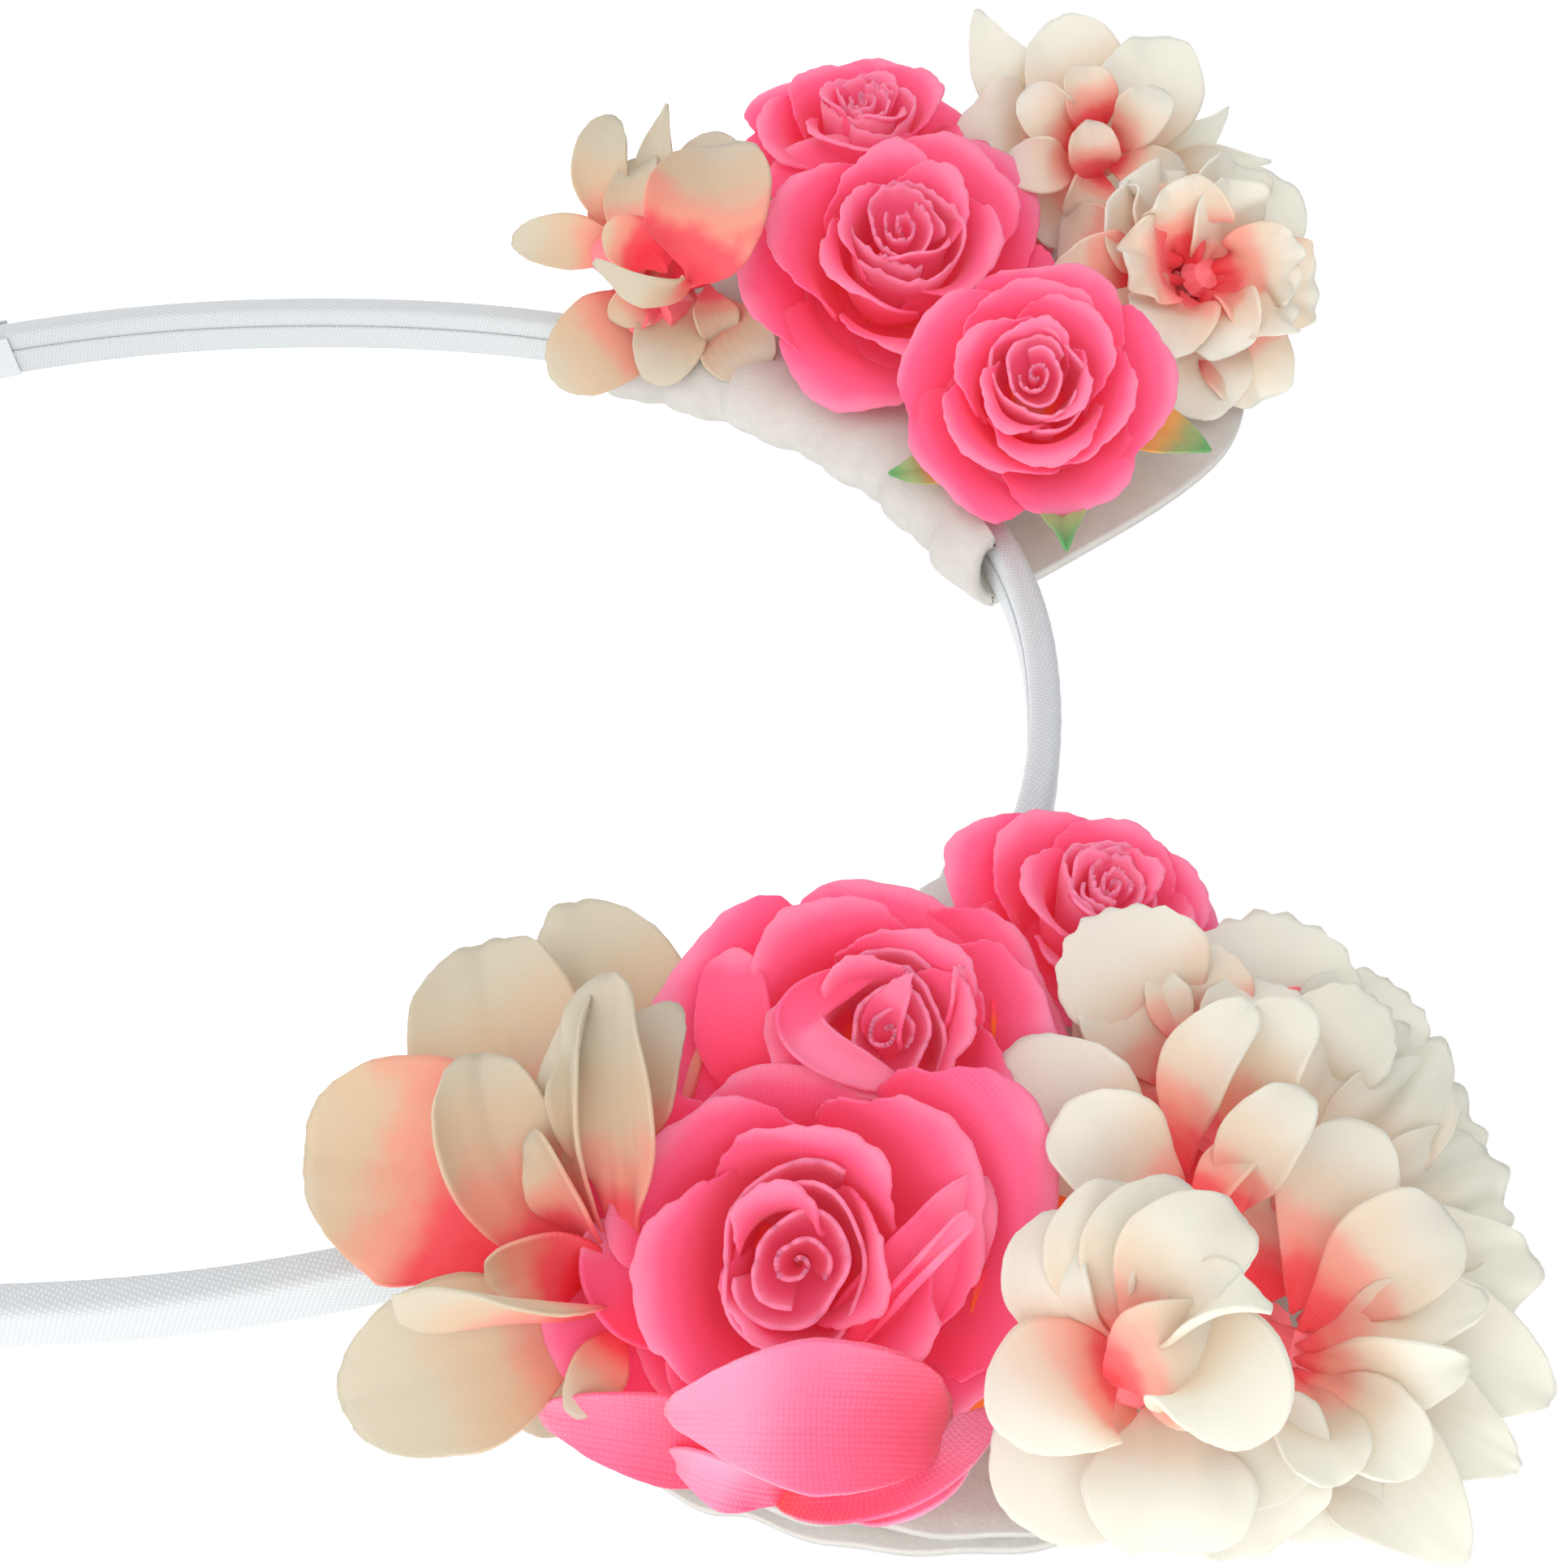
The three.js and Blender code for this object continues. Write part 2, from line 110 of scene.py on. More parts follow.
def soft_lamp(name, place, target, width, height, power):
    """One rectangular lamp that faces a point."""
    lamp = bpy.data.objects.new(name, bpy.data.lights.new(name, "AREA"))
    bpy.context.collection.objects.link(lamp)
    lamp.data.shape = "RECTANGLE"
    lamp.data.size = width
    lamp.data.size_y = height
    lamp.data.energy = power
    lamp.location = place
    lamp.rotation_euler = (Vector(target) - Vector(place)).to_track_quat("-Z", "Y").to_euler()


soft_lamp("key_lamp", (0.62, 0.22, 0.30), (0.02, 0.0, 0.07), 0.6, 0.6, 2.8)
soft_lamp("front_lamp", (0.62, -0.80, 0.14), (0.0, 0.0, 0.07), 0.7, 0.7, 4.2)

# White paper all round: the eye meets it bright, and it lights the crown more gently.
world = bpy.data.worlds.new("white_studio")
bpy.context.scene.world = world
world.use_nodes = True
sky = world.node_tree
sky.nodes.clear()
seen = add_node(sky, "ShaderNodeLightPath")
fill = add_node(sky, "ShaderNodeBackground", links={"Color": linear("#f4f7ff"), "Strength": 0.8})
paper = add_node(sky, "ShaderNodeBackground", links={"Color": linear("#ffffff"), "Strength": 1.0})
chosen = add_node(sky, "ShaderNodeMixShader", links={0: seen.outputs["Is Camera Ray"], 1: fill.outputs[0],
                                                     2: paper.outputs[0]})
add_node(sky, "ShaderNodeOutputWorld", links={"Surface": chosen.outputs[0]})

# Opal acrylic lit from below, so that nothing casts a hard shadow on it.
bpy.ops.mesh.primitive_circle_add(vertices=96, radius=3.0, fill_type="NGON", location=(0.0, 0.0, TABLE_LEVEL))
table = bpy.context.object
table.name = "white_table"
table_finish, tree = new_material("opal acrylic light table")
board = add_node(tree, "ShaderNodeBsdfPrincipled",
                 links={"Base Color": linear("#fafafa"), "Roughness": 0.9,
                        "Emission Color": linear("#ffffff"), "Emission Strength": 0.55})
add_node(tree, "ShaderNodeOutputMaterial", links={"Surface": board.outputs[0]})
table.data.materials.append(table_finish)

# --- The band: a plastic strip in a satin ribbon sleeve -----------------------------------
# A moulded plastic strip 5 mm wide, wrapped lengthways in white satin ribbon that laps on the
# inner face. At each tip the ribbon's end is folded over and glued.

HALF_SPAN = 67.0
CROWN_RISE = 94.7
SHOULDER_POWER = 2.2
LEG_DROP = 40.0
LEG_TURN_IN = 6.4
LEG_SHARE = 0.12
BAND_WIDTH = 6.2
BAND_THICKNESS = 3.2
RIBBON_THICKNESS = 0.3
RIBBON_LAP = 1.6
RIBBON_CORNER = 0.7
RIBBON_STATIONS = 260
SECTION_POINTS = 44
FINE_STATIONS = 6001
TANGENT_STEP = 1.5


def inner_face(share):
    """A point of the band's inner face: share is 0 at the tip on the wearer's left and 1 at the other."""
    share = np.asarray(share, dtype=float)
    from_end = np.minimum(share, 1.0 - share)
    drop = np.clip(1.0 - from_end / LEG_SHARE, 0.0, None)
    side = np.where(share < 0.5, 1.0, -1.0)
    angle = np.pi * (np.clip(share, LEG_SHARE, 1.0 - LEG_SHARE) - LEG_SHARE) / (1.0 - 2.0 * LEG_SHARE)
    across = np.cos(angle)
    power = 2.0 / SHOULDER_POWER
    x = np.where(from_end < LEG_SHARE, side * (HALF_SPAN - LEG_TURN_IN * drop ** 2),
                 HALF_SPAN * np.sign(across) * np.abs(across) ** power)
    z = np.where(from_end < LEG_SHARE, -LEG_DROP * drop, CROWN_RISE * np.abs(np.sin(angle)) ** power)
    return np.stack([x, z], axis=-1)


# Equal steps along the band, as distance from the crown: positive on the wearer's left.
fine_place = inner_face(np.linspace(0.0, 1.0, FINE_STATIONS))
fine_step = np.hypot(*np.diff(fine_place, axis=0).T)
fine_length = np.concatenate([[0.0], np.cumsum(fine_step)])
BAND_LENGTH = fine_length[-1]
fine_along = BAND_LENGTH / 2.0 - fine_length


def on_band(along):
    """The inner face's x and z at a distance along the band from its crown."""
    return [np.interp(along, fine_along[::-1], fine_place[::-1, axis]) for axis in (0, 1)]


def beside_band(along, out, depth):
    """World points at a distance along the band, out from its inner face, and behind its middle."""
    along, out, depth = np.broadcast_arrays(*(np.asarray(v, dtype=float) for v in (along, out, depth)))
    x, z = on_band(along)
    x_on, z_on = on_band(along + TANGENT_STEP)
    x_back, z_back = on_band(along - TANGENT_STEP)
    run = np.hypot(x_on - x_back, z_on - z_back)
    tangent_x = (x_on - x_back) / run
    tangent_z = (z_on - z_back) / run
    return np.stack([x - tangent_z * out, depth, z + tangent_x * out], axis=-1)


def cloth_object(name, grids, thickness, finish):
    """One mesh from grids of (points, weave, tint), each sheet given its thickness and smooth shading.

    Weave is a UV map in millimetres along the threads, and tint one from the sheet's foot to its rim.
    Returns the object and the flat area in square millimetres.
    """
    points, faces, weave, tint = [], [], [], []
    area = 0.0
    start = 0
    for place, threads, shade in grids:
        rows, columns = place.shape[:2]
        index = np.arange(rows * columns).reshape(rows, columns)
        quads = np.stack([index[:-1, :-1], index[:-1, 1:], index[1:, 1:], index[1:, :-1]], axis=-1)
        quads = quads.reshape(-1, 4)
        points.append(place.reshape(-1, 3))
        faces.append(start + quads)
        weave.append(threads.reshape(-1, 2))
        tint.append(shade.reshape(-1, 2))
        corners = threads.reshape(-1, 2)[quads]
        rising = corners[:, 2] - corners[:, 0]
        falling = corners[:, 3] - corners[:, 1]
        area += 0.5 * np.abs(rising[:, 0] * falling[:, 1] - rising[:, 1] * falling[:, 0]).sum()
        start += rows * columns
    points = np.concatenate(points) * MM
    faces = np.concatenate(faces)
    mesh = bpy.data.meshes.new(name)
    mesh.from_pydata(points.tolist(), [], faces.tolist())
    for label, values in (("weave", np.concatenate(weave)), ("tint", np.concatenate(tint))):
        layer = mesh.uv_layers.new(name=label)
        layer.data.foreach_set("uv", values[faces.reshape(-1)].astype(np.float32).reshape(-1))
    piece = bpy.data.objects.new(name, mesh)
    bpy.context.collection.objects.link(piece)
    mesh.materials.append(finish)
    bpy.ops.object.select_all(action="DESELECT")
    piece.select_set(True)
    bpy.context.view_layer.objects.active = piece
    wall = piece.modifiers.new("wall", "SOLIDIFY")
    wall.thickness = thickness * MM
    wall.offset = 0.0
    bpy.ops.object.modifier_apply(modifier=wall.name)
    bpy.ops.object.shade_smooth()
    return piece, area


def woven(tree, pitch, strength, turn=0.0):
    """Bump and height for two crossed sets of threads, pitch millimetres apart, on the weave UV map."""
    place = add_node(tree, "ShaderNodeUVMap", {"uv_map": "weave"})
    turned_place = add_node(tree, "ShaderNodeMapping", links={"Vector": place.outputs[0],
                                                              "Rotation": (0.0, 0.0, turn)})
    # A wave texture of scale 1 repeats every 2 pi / 20 of a unit, and a unit of the map is a millimetre.
    thread = {"Vector": turned_place.outputs[0], "Scale": 1.0 / pitch / 20.0 * 2.0 * math.pi,
              "Distortion": 0.6, "Detail": 1.0, "Detail Scale": 0.6}
    warp = add_node(tree, "ShaderNodeTexWave", {"bands_direction": "X"}, thread)
    weft = add_node(tree, "ShaderNodeTexWave", {"bands_direction": "Y"}, thread)
    both = add_node(tree, "ShaderNodeMath", {"operation": "MULTIPLY"}, {0: warp.outputs["Fac"],
                                                                        1: weft.outputs["Fac"]})
    bump = add_node(tree, "ShaderNodeBump", links={"Height": both.outputs[0], "Strength": strength,
                                                   "Distance": 0.06 * MM})
    return bump, both


# White polyester satin: its long floats give a soft sheen, and fine ribs run slantwise across it. They
# are drawn 0.42 mm apart, coarser than real ones, so that they show.
satin, tree = new_material("white satin ribbon")
ribs, ribs_height = woven(tree, 0.42, 0.8, math.radians(24.0))
# Painted light: the white satin is painted grey all over as painted shade, and its rib crowns are painted
# lighter than the hollows as a painted highlight.
ribbon_painted_light = add_node(tree, "ShaderNodeMix", {"data_type": "RGBA"}, {0: ribs_height.outputs[0]})
ribbon_painted_light.inputs[6].default_value = linear("#b3b7b6")
ribbon_painted_light.inputs[7].default_value = linear("#c9cccb")
sheen_cloth = add_node(tree, "ShaderNodeBsdfPrincipled",
                       links={"Base Color": ribbon_painted_light.outputs[2], "Roughness": 0.42, "Sheen Weight": 0.3,
                              "Normal": ribs.outputs[0]})
add_node(tree, "ShaderNodeOutputMaterial", links={"Surface": sheen_cloth.outputs[0]})

# The section starts under the lap, goes once round the strip and ends over its own start.
half_width = BAND_WIDTH / 2.0 - RIBBON_THICKNESS / 2.0
low = RIBBON_THICKNESS / 2.0
high = BAND_THICKNESS - RIBBON_THICKNESS / 2.0
round_about = [(-RIBBON_LAP / 2.0, low + 0.34), (0.5, low + 0.3), (0.95, low + 0.05)]
for corner_x, corner_out, first_turn in ((half_width, low, -90), (half_width, high, 0),
                                         (-half_width, high, 90), (-half_width, low, 180)):
    middle_x = corner_x - math.copysign(RIBBON_CORNER, corner_x)
    middle_out = corner_out + (RIBBON_CORNER if corner_out == low else -RIBBON_CORNER)
    for turn in np.radians(first_turn + np.linspace(0.0, 90.0, 5)):
        round_about.append((middle_x + RIBBON_CORNER * math.cos(turn),
                            middle_out + RIBBON_CORNER * math.sin(turn)))
round_about += [(-0.6, low), (0.6, low - 0.03)]
round_about = np.array(round_about)
round_length = np.concatenate([[0.0], np.cumsum(np.hypot(*np.diff(round_about, axis=0).T))])
even = np.linspace(0.0, round_length[-1], SECTION_POINTS)
section_y = np.interp(even, round_length, round_about[:, 0])
section_out = np.interp(even, round_length, round_about[:, 1])
# Stretched over the bend, the ribbon puckers by a few hundredths of a millimetre.
stations = np.linspace(-BAND_LENGTH / 2.0, BAND_LENGTH / 2.0, RIBBON_STATIONS)
puckers = 0.035 * np.sin(stations * 2.3)[:, None] * np.cos(section_y * 1.7)[None, :]
ribbon_place = beside_band(stations[:, None], section_out[None, :] + puckers, -section_y[None, :])
ribbon_weave = np.stack(np.broadcast_arrays(stations[:, None], even[None, :]), axis=-1)
ribbon, ribbon_area = cloth_object("ribbon", [(ribbon_place, ribbon_weave, ribbon_weave / 100.0)],
                                   RIBBON_THICKNESS, satin)
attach(ribbon, "root")
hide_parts("ribbon_sleeve")


def moulded_plastic(name, colour, rough, refraction, grain, strength, depth):
    """Plastic made matt by its mould's grain: so many grains to the metre, and depth in millimetres."""
    material, tree = new_material(name)
    place = add_node(tree, "ShaderNodeTexCoord")
    mould = add_node(tree, "ShaderNodeTexNoise", links={"Vector": place.outputs["Object"], "Scale": grain,
                                                        "Detail": 2.0})
    bump = add_node(tree, "ShaderNodeBump", links={"Height": mould.outputs["Fac"], "Strength": strength,
                                                   "Distance": depth * MM})
    plastic = add_node(tree, "ShaderNodeBsdfPrincipled",
                       links={"Base Color": linear(colour), "Roughness": rough, "IOR": refraction,
                              "Normal": bump.outputs[0]})
    add_node(tree, "ShaderNodeOutputMaterial", links={"Surface": plastic.outputs[0]})
    return material


def give_finish(kept, finish):
    """Gives a finish to a CAD node that keeps its own shape."""
    if not kept.material_slots:
        kept.data.materials.append(finish)
    for held in kept.material_slots:
        held.material = finish


# Injection-moulded polypropylene: milky white and half matt, with a grain of about half a millimetre.
white_plastic = moulded_plastic("white moulded polypropylene", "#efece4", rough=0.5, refraction=1.49,
                                grain=1800.0, strength=0.15, depth=0.02)

# The same satin as the ribbon, pulled tight, so it looks flatter.
fold_satin, tree = new_material("white satin ribbon, folded end")
grain = add_node(tree, "ShaderNodeTexCoord")
# Ribs 0.34 mm apart, across the fold.
rib = add_node(tree, "ShaderNodeTexWave", {"bands_direction": "Z"},
               {"Vector": grain.outputs["Object"], "Scale": 920.0, "Distortion": 0.5})
rib_bump = add_node(tree, "ShaderNodeBump", links={"Height": rib.outputs["Fac"], "Strength": 0.4,
                                                   "Distance": 0.05 * MM})
# Painted shade: like the ribbon, this white satin is painted grey.
fold_cloth = add_node(tree, "ShaderNodeBsdfPrincipled",
                      links={"Base Color": linear("#c3c6c5"), "Roughness": 0.42, "Sheen Weight": 0.3,
                             "Normal": rib_bump.outputs[0]})
add_node(tree, "ShaderNodeOutputMaterial", links={"Surface": fold_cloth.outputs[0]})

# The strip and the tip folds keep the shapes they have in the part.
give_finish(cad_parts["band_core"], white_plastic)
give_finish(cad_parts["left_tip_fold"], fold_satin)
give_finish(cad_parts["right_tip_fold"], fold_satin)

# --- The felt ears ------------------------------------------------------------------------
# Each ear is one piece of white craft felt, folded round the inner side of the band and glued
# to itself above the band. The cut edges are soft and wavy.

FELT_THICKNESS = 1.4
PAD_HALF = 4.8
EAR_REACH = 54.0
FOLD_REACH = 5.0
# An ear's outlines are (along the band from the crown, out from its inner face). The back layer reaches
# the ear's edge, and the front layer stops a little short of it near the crown.
EAR_START = 19.8
EAR_END = 94.5
EAR_ROWS = 110
EAR_COLUMNS = 61
EAR_EDGE = [(94.5, 2.7), (90.2, 9.6), (84.6, 16.5), (76.3, 26.7), (64.7, 37.8), (54.5, 46.6), (45.3, 50.0),
            (36.4, 47.3), (27.1, 35.6), (19.8, -1.4)]
FRONT_EDGE = [(94.5, 2.7), (90.2, 9.6), (84.6, 16.5), (76.3, 26.7), (64.7, 37.8), (54.5, 46.6), (48.5, 48.2),
              (42.6, 44.5), (36.1, 34.5), (28.4, -1.4)]
EDGE_AT_BAND = -1.4
FOLD_SHARE = 0.25
# Below this place the felt is gathered to a share of its length, and leaves the ribbon free.
CORNER_FROM = 68.0
CORNER_SHARE = 0.76


def through_light(tree, cloth, colour, share):
    """Mixes a cloth's shader with the light that comes through it, and sets the material's output."""
    behind = add_node(tree, "ShaderNodeBsdfTranslucent", links={"Color": colour})
    mixed = add_node(tree, "ShaderNodeMixShader", links={0: share, 1: cloth.outputs[0], 2: behind.outputs[0]})
    add_node(tree, "ShaderNodeOutputMaterial", links={"Surface": mixed.outputs[0]})


# White wool-blend felt: a matt nap that scatters light softly and lets some through.
felt, tree = new_material("white wool-blend craft felt")
place = add_node(tree, "ShaderNodeTexCoord")
# Matted fibres about 0.4 mm apart, and clumps of 2.4 mm.
fibres = add_node(tree, "ShaderNodeTexNoise", links={"Vector": place.outputs["Object"], "Scale": 2600.0,
                                                     "Detail": 6.0, "Roughness": 0.7, "Distortion": 1.2})
clumps = add_node(tree, "ShaderNodeTexNoise", links={"Vector": place.outputs["Object"], "Scale": 420.0,
                                                     "Detail": 3.0})
felt_height = add_node(tree, "ShaderNodeMath", {"operation": "ADD"}, {0: fibres.outputs["Fac"],
                                                                      1: clumps.outputs["Fac"]})
felt_bump = add_node(tree, "ShaderNodeBump", links={"Height": felt_height.outputs[0], "Strength": 0.75,
                                                    "Distance": 0.25 * MM})
felt_shade = add_node(tree, "ShaderNodeMix", {"data_type": "RGBA"}, {0: clumps.outputs["Fac"]})
felt_shade.inputs[6].default_value = linear("#d8d3ca")
felt_shade.inputs[7].default_value = linear("#eae6dd")
felt_cloth = add_node(tree, "ShaderNodeBsdfPrincipled",
                      links={"Base Color": felt_shade.outputs[2], "Roughness": 0.95, "Sheen Weight": 0.5,
                             "Sheen Roughness": 0.6, "Normal": felt_bump.outputs[0]})
through_light(tree, felt_cloth, felt_shade.outputs[2], 0.34)


def ear_grid(side, seed):
    """The folded felt of one ear as a grid: along the band by round the fold."""
    chance = np.random.default_rng(seed)
    along = np.linspace(EAR_START, EAR_END, EAR_ROWS)
    back = np.interp(along, *np.array(EAR_EDGE[::-1]).T)
    front = np.interp(along, *np.array(FRONT_EDGE[::-1]).T, left=EDGE_AT_BAND)
    # The scissors round the outline's corners off, over 11 rows.
    smooth = np.hanning(13)[1:-1] / np.hanning(13).sum()
    back[5:-5] = np.convolve(back, smooth, "valid")
    front[5:-5] = np.convolve(front, smooth, "valid")
    # Scissor waves of 5 to 12 mm along the cut edges.
    for wave in (5.3, 8.1, 12.4):
        back = back + 0.22 * np.sin(2 * np.pi * along / wave + chance.uniform(0, 6.28))
        front = front + 0.22 * np.sin(2 * np.pi * along / wave + chance.uniform(0, 6.28))
    # The fold hangs in soft waves inside the band, and draws up towards both ends of the ear.
    fold_lip = (-FOLD_REACH + FELT_THICKNESS / 2.0 + 0.55 * np.sin(along * 0.52 + side)
                + 0.35 * np.sin(along * 1.13 + 2.0))
    taper = np.clip((along - EAR_START) / 6.0, 0.0, 1.0) * np.clip((EAR_END - along) / 7.0, 0.0, 1.0)
    fold_lip = np.maximum(fold_lip, -FOLD_REACH + 0.2) * (0.35 + 0.65 * np.sqrt(taper))
    # From the front layer's cut edge at -1, round the fold at 0, to the back layer's edge at 1.
    walk = np.linspace(-1.0, 1.0, EAR_COLUMNS)
    reach = np.abs(walk)
    gap = PAD_HALF - FELT_THICKNESS / 2.0
    out = np.empty((len(along), len(walk)))
    depth = np.empty_like(out)
    for row in range(len(along)):
        for column in range(len(walk)):
            edge = front[row] if walk[column] < 0 else back[row]
            if reach[column] < FOLD_SHARE:
                turn = reach[column] / FOLD_SHARE * math.pi / 2.0
                out[row, column] = fold_lip[row] * math.cos(turn)
                half = gap * math.sin(turn)
            else:
                out[row, column] = max(edge, 0.02) * (reach[column] - FOLD_SHARE) / (1.0 - FOLD_SHARE)
                half = gap + (FELT_THICKNESS / 2.0 + 0.1 - gap) * min(out[row, column] / EAR_REACH, 1.0)
            depth[row, column] = math.copysign(half, walk[column])
    # Both layers bulge a little here and there.
    swell = 0.25 * np.sin(along * 0.31 + seed)[:, None] * np.cos(out * 0.21)
    depth = depth + swell * np.sign(walk)[None, :] * (reach > FOLD_SHARE)
    place_along = np.where(along > CORNER_FROM, CORNER_FROM + (along - CORNER_FROM) * CORNER_SHARE, along)
    grid = beside_band(place_along[:, None] * side, out, depth)
    flat_across = np.cumsum(np.hypot(np.diff(out, axis=1, prepend=out[:, :1]),
                                     np.diff(depth, axis=1, prepend=depth[:, :1])), axis=1)
    threads = np.stack([np.broadcast_to(along[:, None], out.shape), flat_across], axis=-1)
    return grid, threads, threads / 100.0


for ear_name, side, seed in (("left_felt_ear", 1.0, 3), ("right_felt_ear", -1.0, 8)):
    ear, ear_area = cloth_object(ear_name + "_cloth", [ear_grid(side, seed)], FELT_THICKNESS - 0.1, felt)
    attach(ear, "root")
    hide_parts(ear_name)

# --- Stems and stalks ---------------------------------------------------------------------
# Each flower head sits on a short moulded stub that is hot-glued to the felt. The stubs keep
# the shapes they have in the part, in coral-tinted plastic.

# Soft moulded polyethylene: a waxy half-matt skin with a grain of about a millimetre.
stem_plastic = moulded_plastic("coral moulded polyethylene stem", "#f2747a", rough=0.55, refraction=1.5,
                               grain=900.0, strength=0.2, depth=0.05)
for node_name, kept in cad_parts.items():
    if node_name.endswith("_stem"):
        give_finish(kept, stem_plastic)

# --- Roses --------------------------------------------------------------------------------
# Pink polyester cloth, die-cut and heat-cupped: outer petals with curled rims, inner petals
# closing round a tightly rolled bud. The cut rims fray, and the dye is deeper and more orange inside.

CLOTH_THICKNESS = 0.32
FULL_TURN = 2.0 * math.pi


def petal_disc(rows, chance, nick, jag):
    """A petal's outline as a round grid: across and up from -1 to 1, with its cut edge nicked or jagged."""
    # A square grid drawn into a circle, so that no point of the petal is a pole.
    column, row = np.meshgrid(np.linspace(-1.0, 1.0, rows), np.linspace(-1.0, 1.0, rows))
    across = column * np.sqrt(1.0 - row * row / 2.0)
    up = row * np.sqrt(1.0 - column * column / 2.0)
    edge = np.clip(np.hypot(across, up), 0.0, 1.0)
    turn = np.arctan2(up, across)
    rough = np.zeros_like(turn)
    for nicks in (7, 13, 19, 31, 47):
        rough += np.sin(nicks * turn + chance.uniform(0, 6.28)) / nicks ** 0.5
    teeth = np.abs((turn * 9.0 / math.pi + chance.uniform(0, 1)) % 1.0 - 0.5) - 0.25
    grow = 1.0 + edge ** 10 * (nick * 0.035 * rough + jag * 0.16 * teeth * np.clip(up, 0.0, 1.0))
    return across * grow, up * grow, edge, turn


def ruffled(edge, turn, chance, waves):
    """Waves that grow towards the rim."""
    phase = chance.uniform(0.0, 6.28, 3)
    return edge ** 3 * (np.sin(waves * turn + phase[0]) + 0.6 * np.sin((waves + 2) * turn + phase[1])
                        + 0.4 * np.sin((2 * waves + 1) * turn + phase[2]))


def smoothed(share):
    """An even share eased in and out."""
    share = np.clip(share, 0.0, 1.0)
    return share * share * (3.0 - 2.0 * share)


class FlowerFrame:
    """A flower's own directions: its axis out of the felt, up across the ear, and to its side."""

    def __init__(self, base, turn, lift):
        turn = math.radians(turn)
        lift = math.radians(lift)
        self.base = np.array(base, dtype=float)
        self.axis = np.array([math.sin(turn) * math.cos(lift), -math.cos(turn) * math.cos(lift),
                              math.sin(lift)])
        up = np.array([0.0, 0.0, 1.0]) - self.axis[2] * self.axis
        self.up = up / np.linalg.norm(up)
        self.side = np.cross(self.up, self.axis)

    def place(self, around, radius, height):
        """World points round the axis, out from it and along it."""
        return (self.base + np.cos(around)[..., None] * radius[..., None] * self.side
                + np.sin(around)[..., None] * radius[..., None] * self.up + height[..., None] * self.axis)


def cupped_petal(flower, radius, around, spread, foot, length, leans, ruffle, waves, rows, seed,
                 spiral=0.05, nick=1.0, tone=0.0):
    """A rose petal wrapped round the flower's axis.

    Foot is (radius, height), and leans are its angles from the axis on the way to its rim. All but
    the angles are shares of the flower's radius.
    """
    chance = np.random.default_rng(seed)
    across, up, edge, turn = petal_disc(rows, chance, nick, 0.0)
    along = (up + 1.0) / 2.0
    walk = np.linspace(0.0, 1.08, 109)
    angle = np.radians(np.interp(walk, np.linspace(0.0, 1.0, len(leans)), leans))
    step = length * 0.01
    run_radius = foot[0] + np.concatenate([[0.0], np.cumsum(np.sin(angle) * step)])[:-1]
    run_height = foot[1] + np.concatenate([[0.0], np.cumsum(np.cos(angle) * step)])[:-1]
    wide = across * (0.75 + 0.25 * smoothed(along / 0.5))
    away = np.interp(along, walk, run_radius) + spiral * wide
    height = np.interp(along, walk, run_height)
    wave = ruffled(edge, turn, chance, waves) * ruffle * 0.03
    away = away + wave
    height = height + 0.5 * wave * np.roll(wave, 3, axis=1)
    grid = flower.place(math.radians(around) + math.radians(spread) * wide, away * radius, height * radius)
    middle = np.mean(run_radius) * radius * math.radians(spread)
    threads = np.stack([wide * middle, along * length * radius], axis=-1)
    return grid, threads, np.stack([across * 0.5 + 0.5, along + tone], axis=-1)


def rolled_strip(flower, radius, first, turns, wide, tight, foot, height, closing, seed):
    """The rolled strip in a bud: from wide to tight round the axis, with a frayed and slightly cupped rim.

    Closing is how far its foot draws in, as a share of its radius.
    """
    chance = np.random.default_rng(seed)
    columns = int(46 * turns)
    rows = 12
    share, up = np.meshgrid(np.linspace(0.0, 1.0, columns), np.linspace(0.0, 1.0, rows))
    wound = share * turns * FULL_TURN
    around = math.radians(first) + wound
    fray = np.repeat(chance.normal(0.0, 0.02, (1, columns)), rows, axis=0)
    rise = (foot + (height - foot) * up * (1.0 - 0.10 * np.sin(wound * 0.8 + 1.0) ** 2)
            + fray * up ** 4)
    away = ((wide + (tight - wide) * share ** 0.85) * (1.0 - closing * (1.0 - up) ** 1.6)
            * (1.0 + 0.13 * np.sin(around * 2.0 + seed) * up + 0.03 * np.sin(around * 5.0) * up))
    grid = flower.place(around, away * radius, rise * radius)
    length = (wide + tight) / 2.0 * turns * FULL_TURN * radius
    threads = np.stack([share * length, up * (height - foot) * radius], axis=-1)
    # The bud keeps to the lighter, upper tones of the dye: painted light that lifts the shade in its tight
    # rolls.
    return grid, threads, np.stack([share, 0.6 + 0.4 * up], axis=-1)


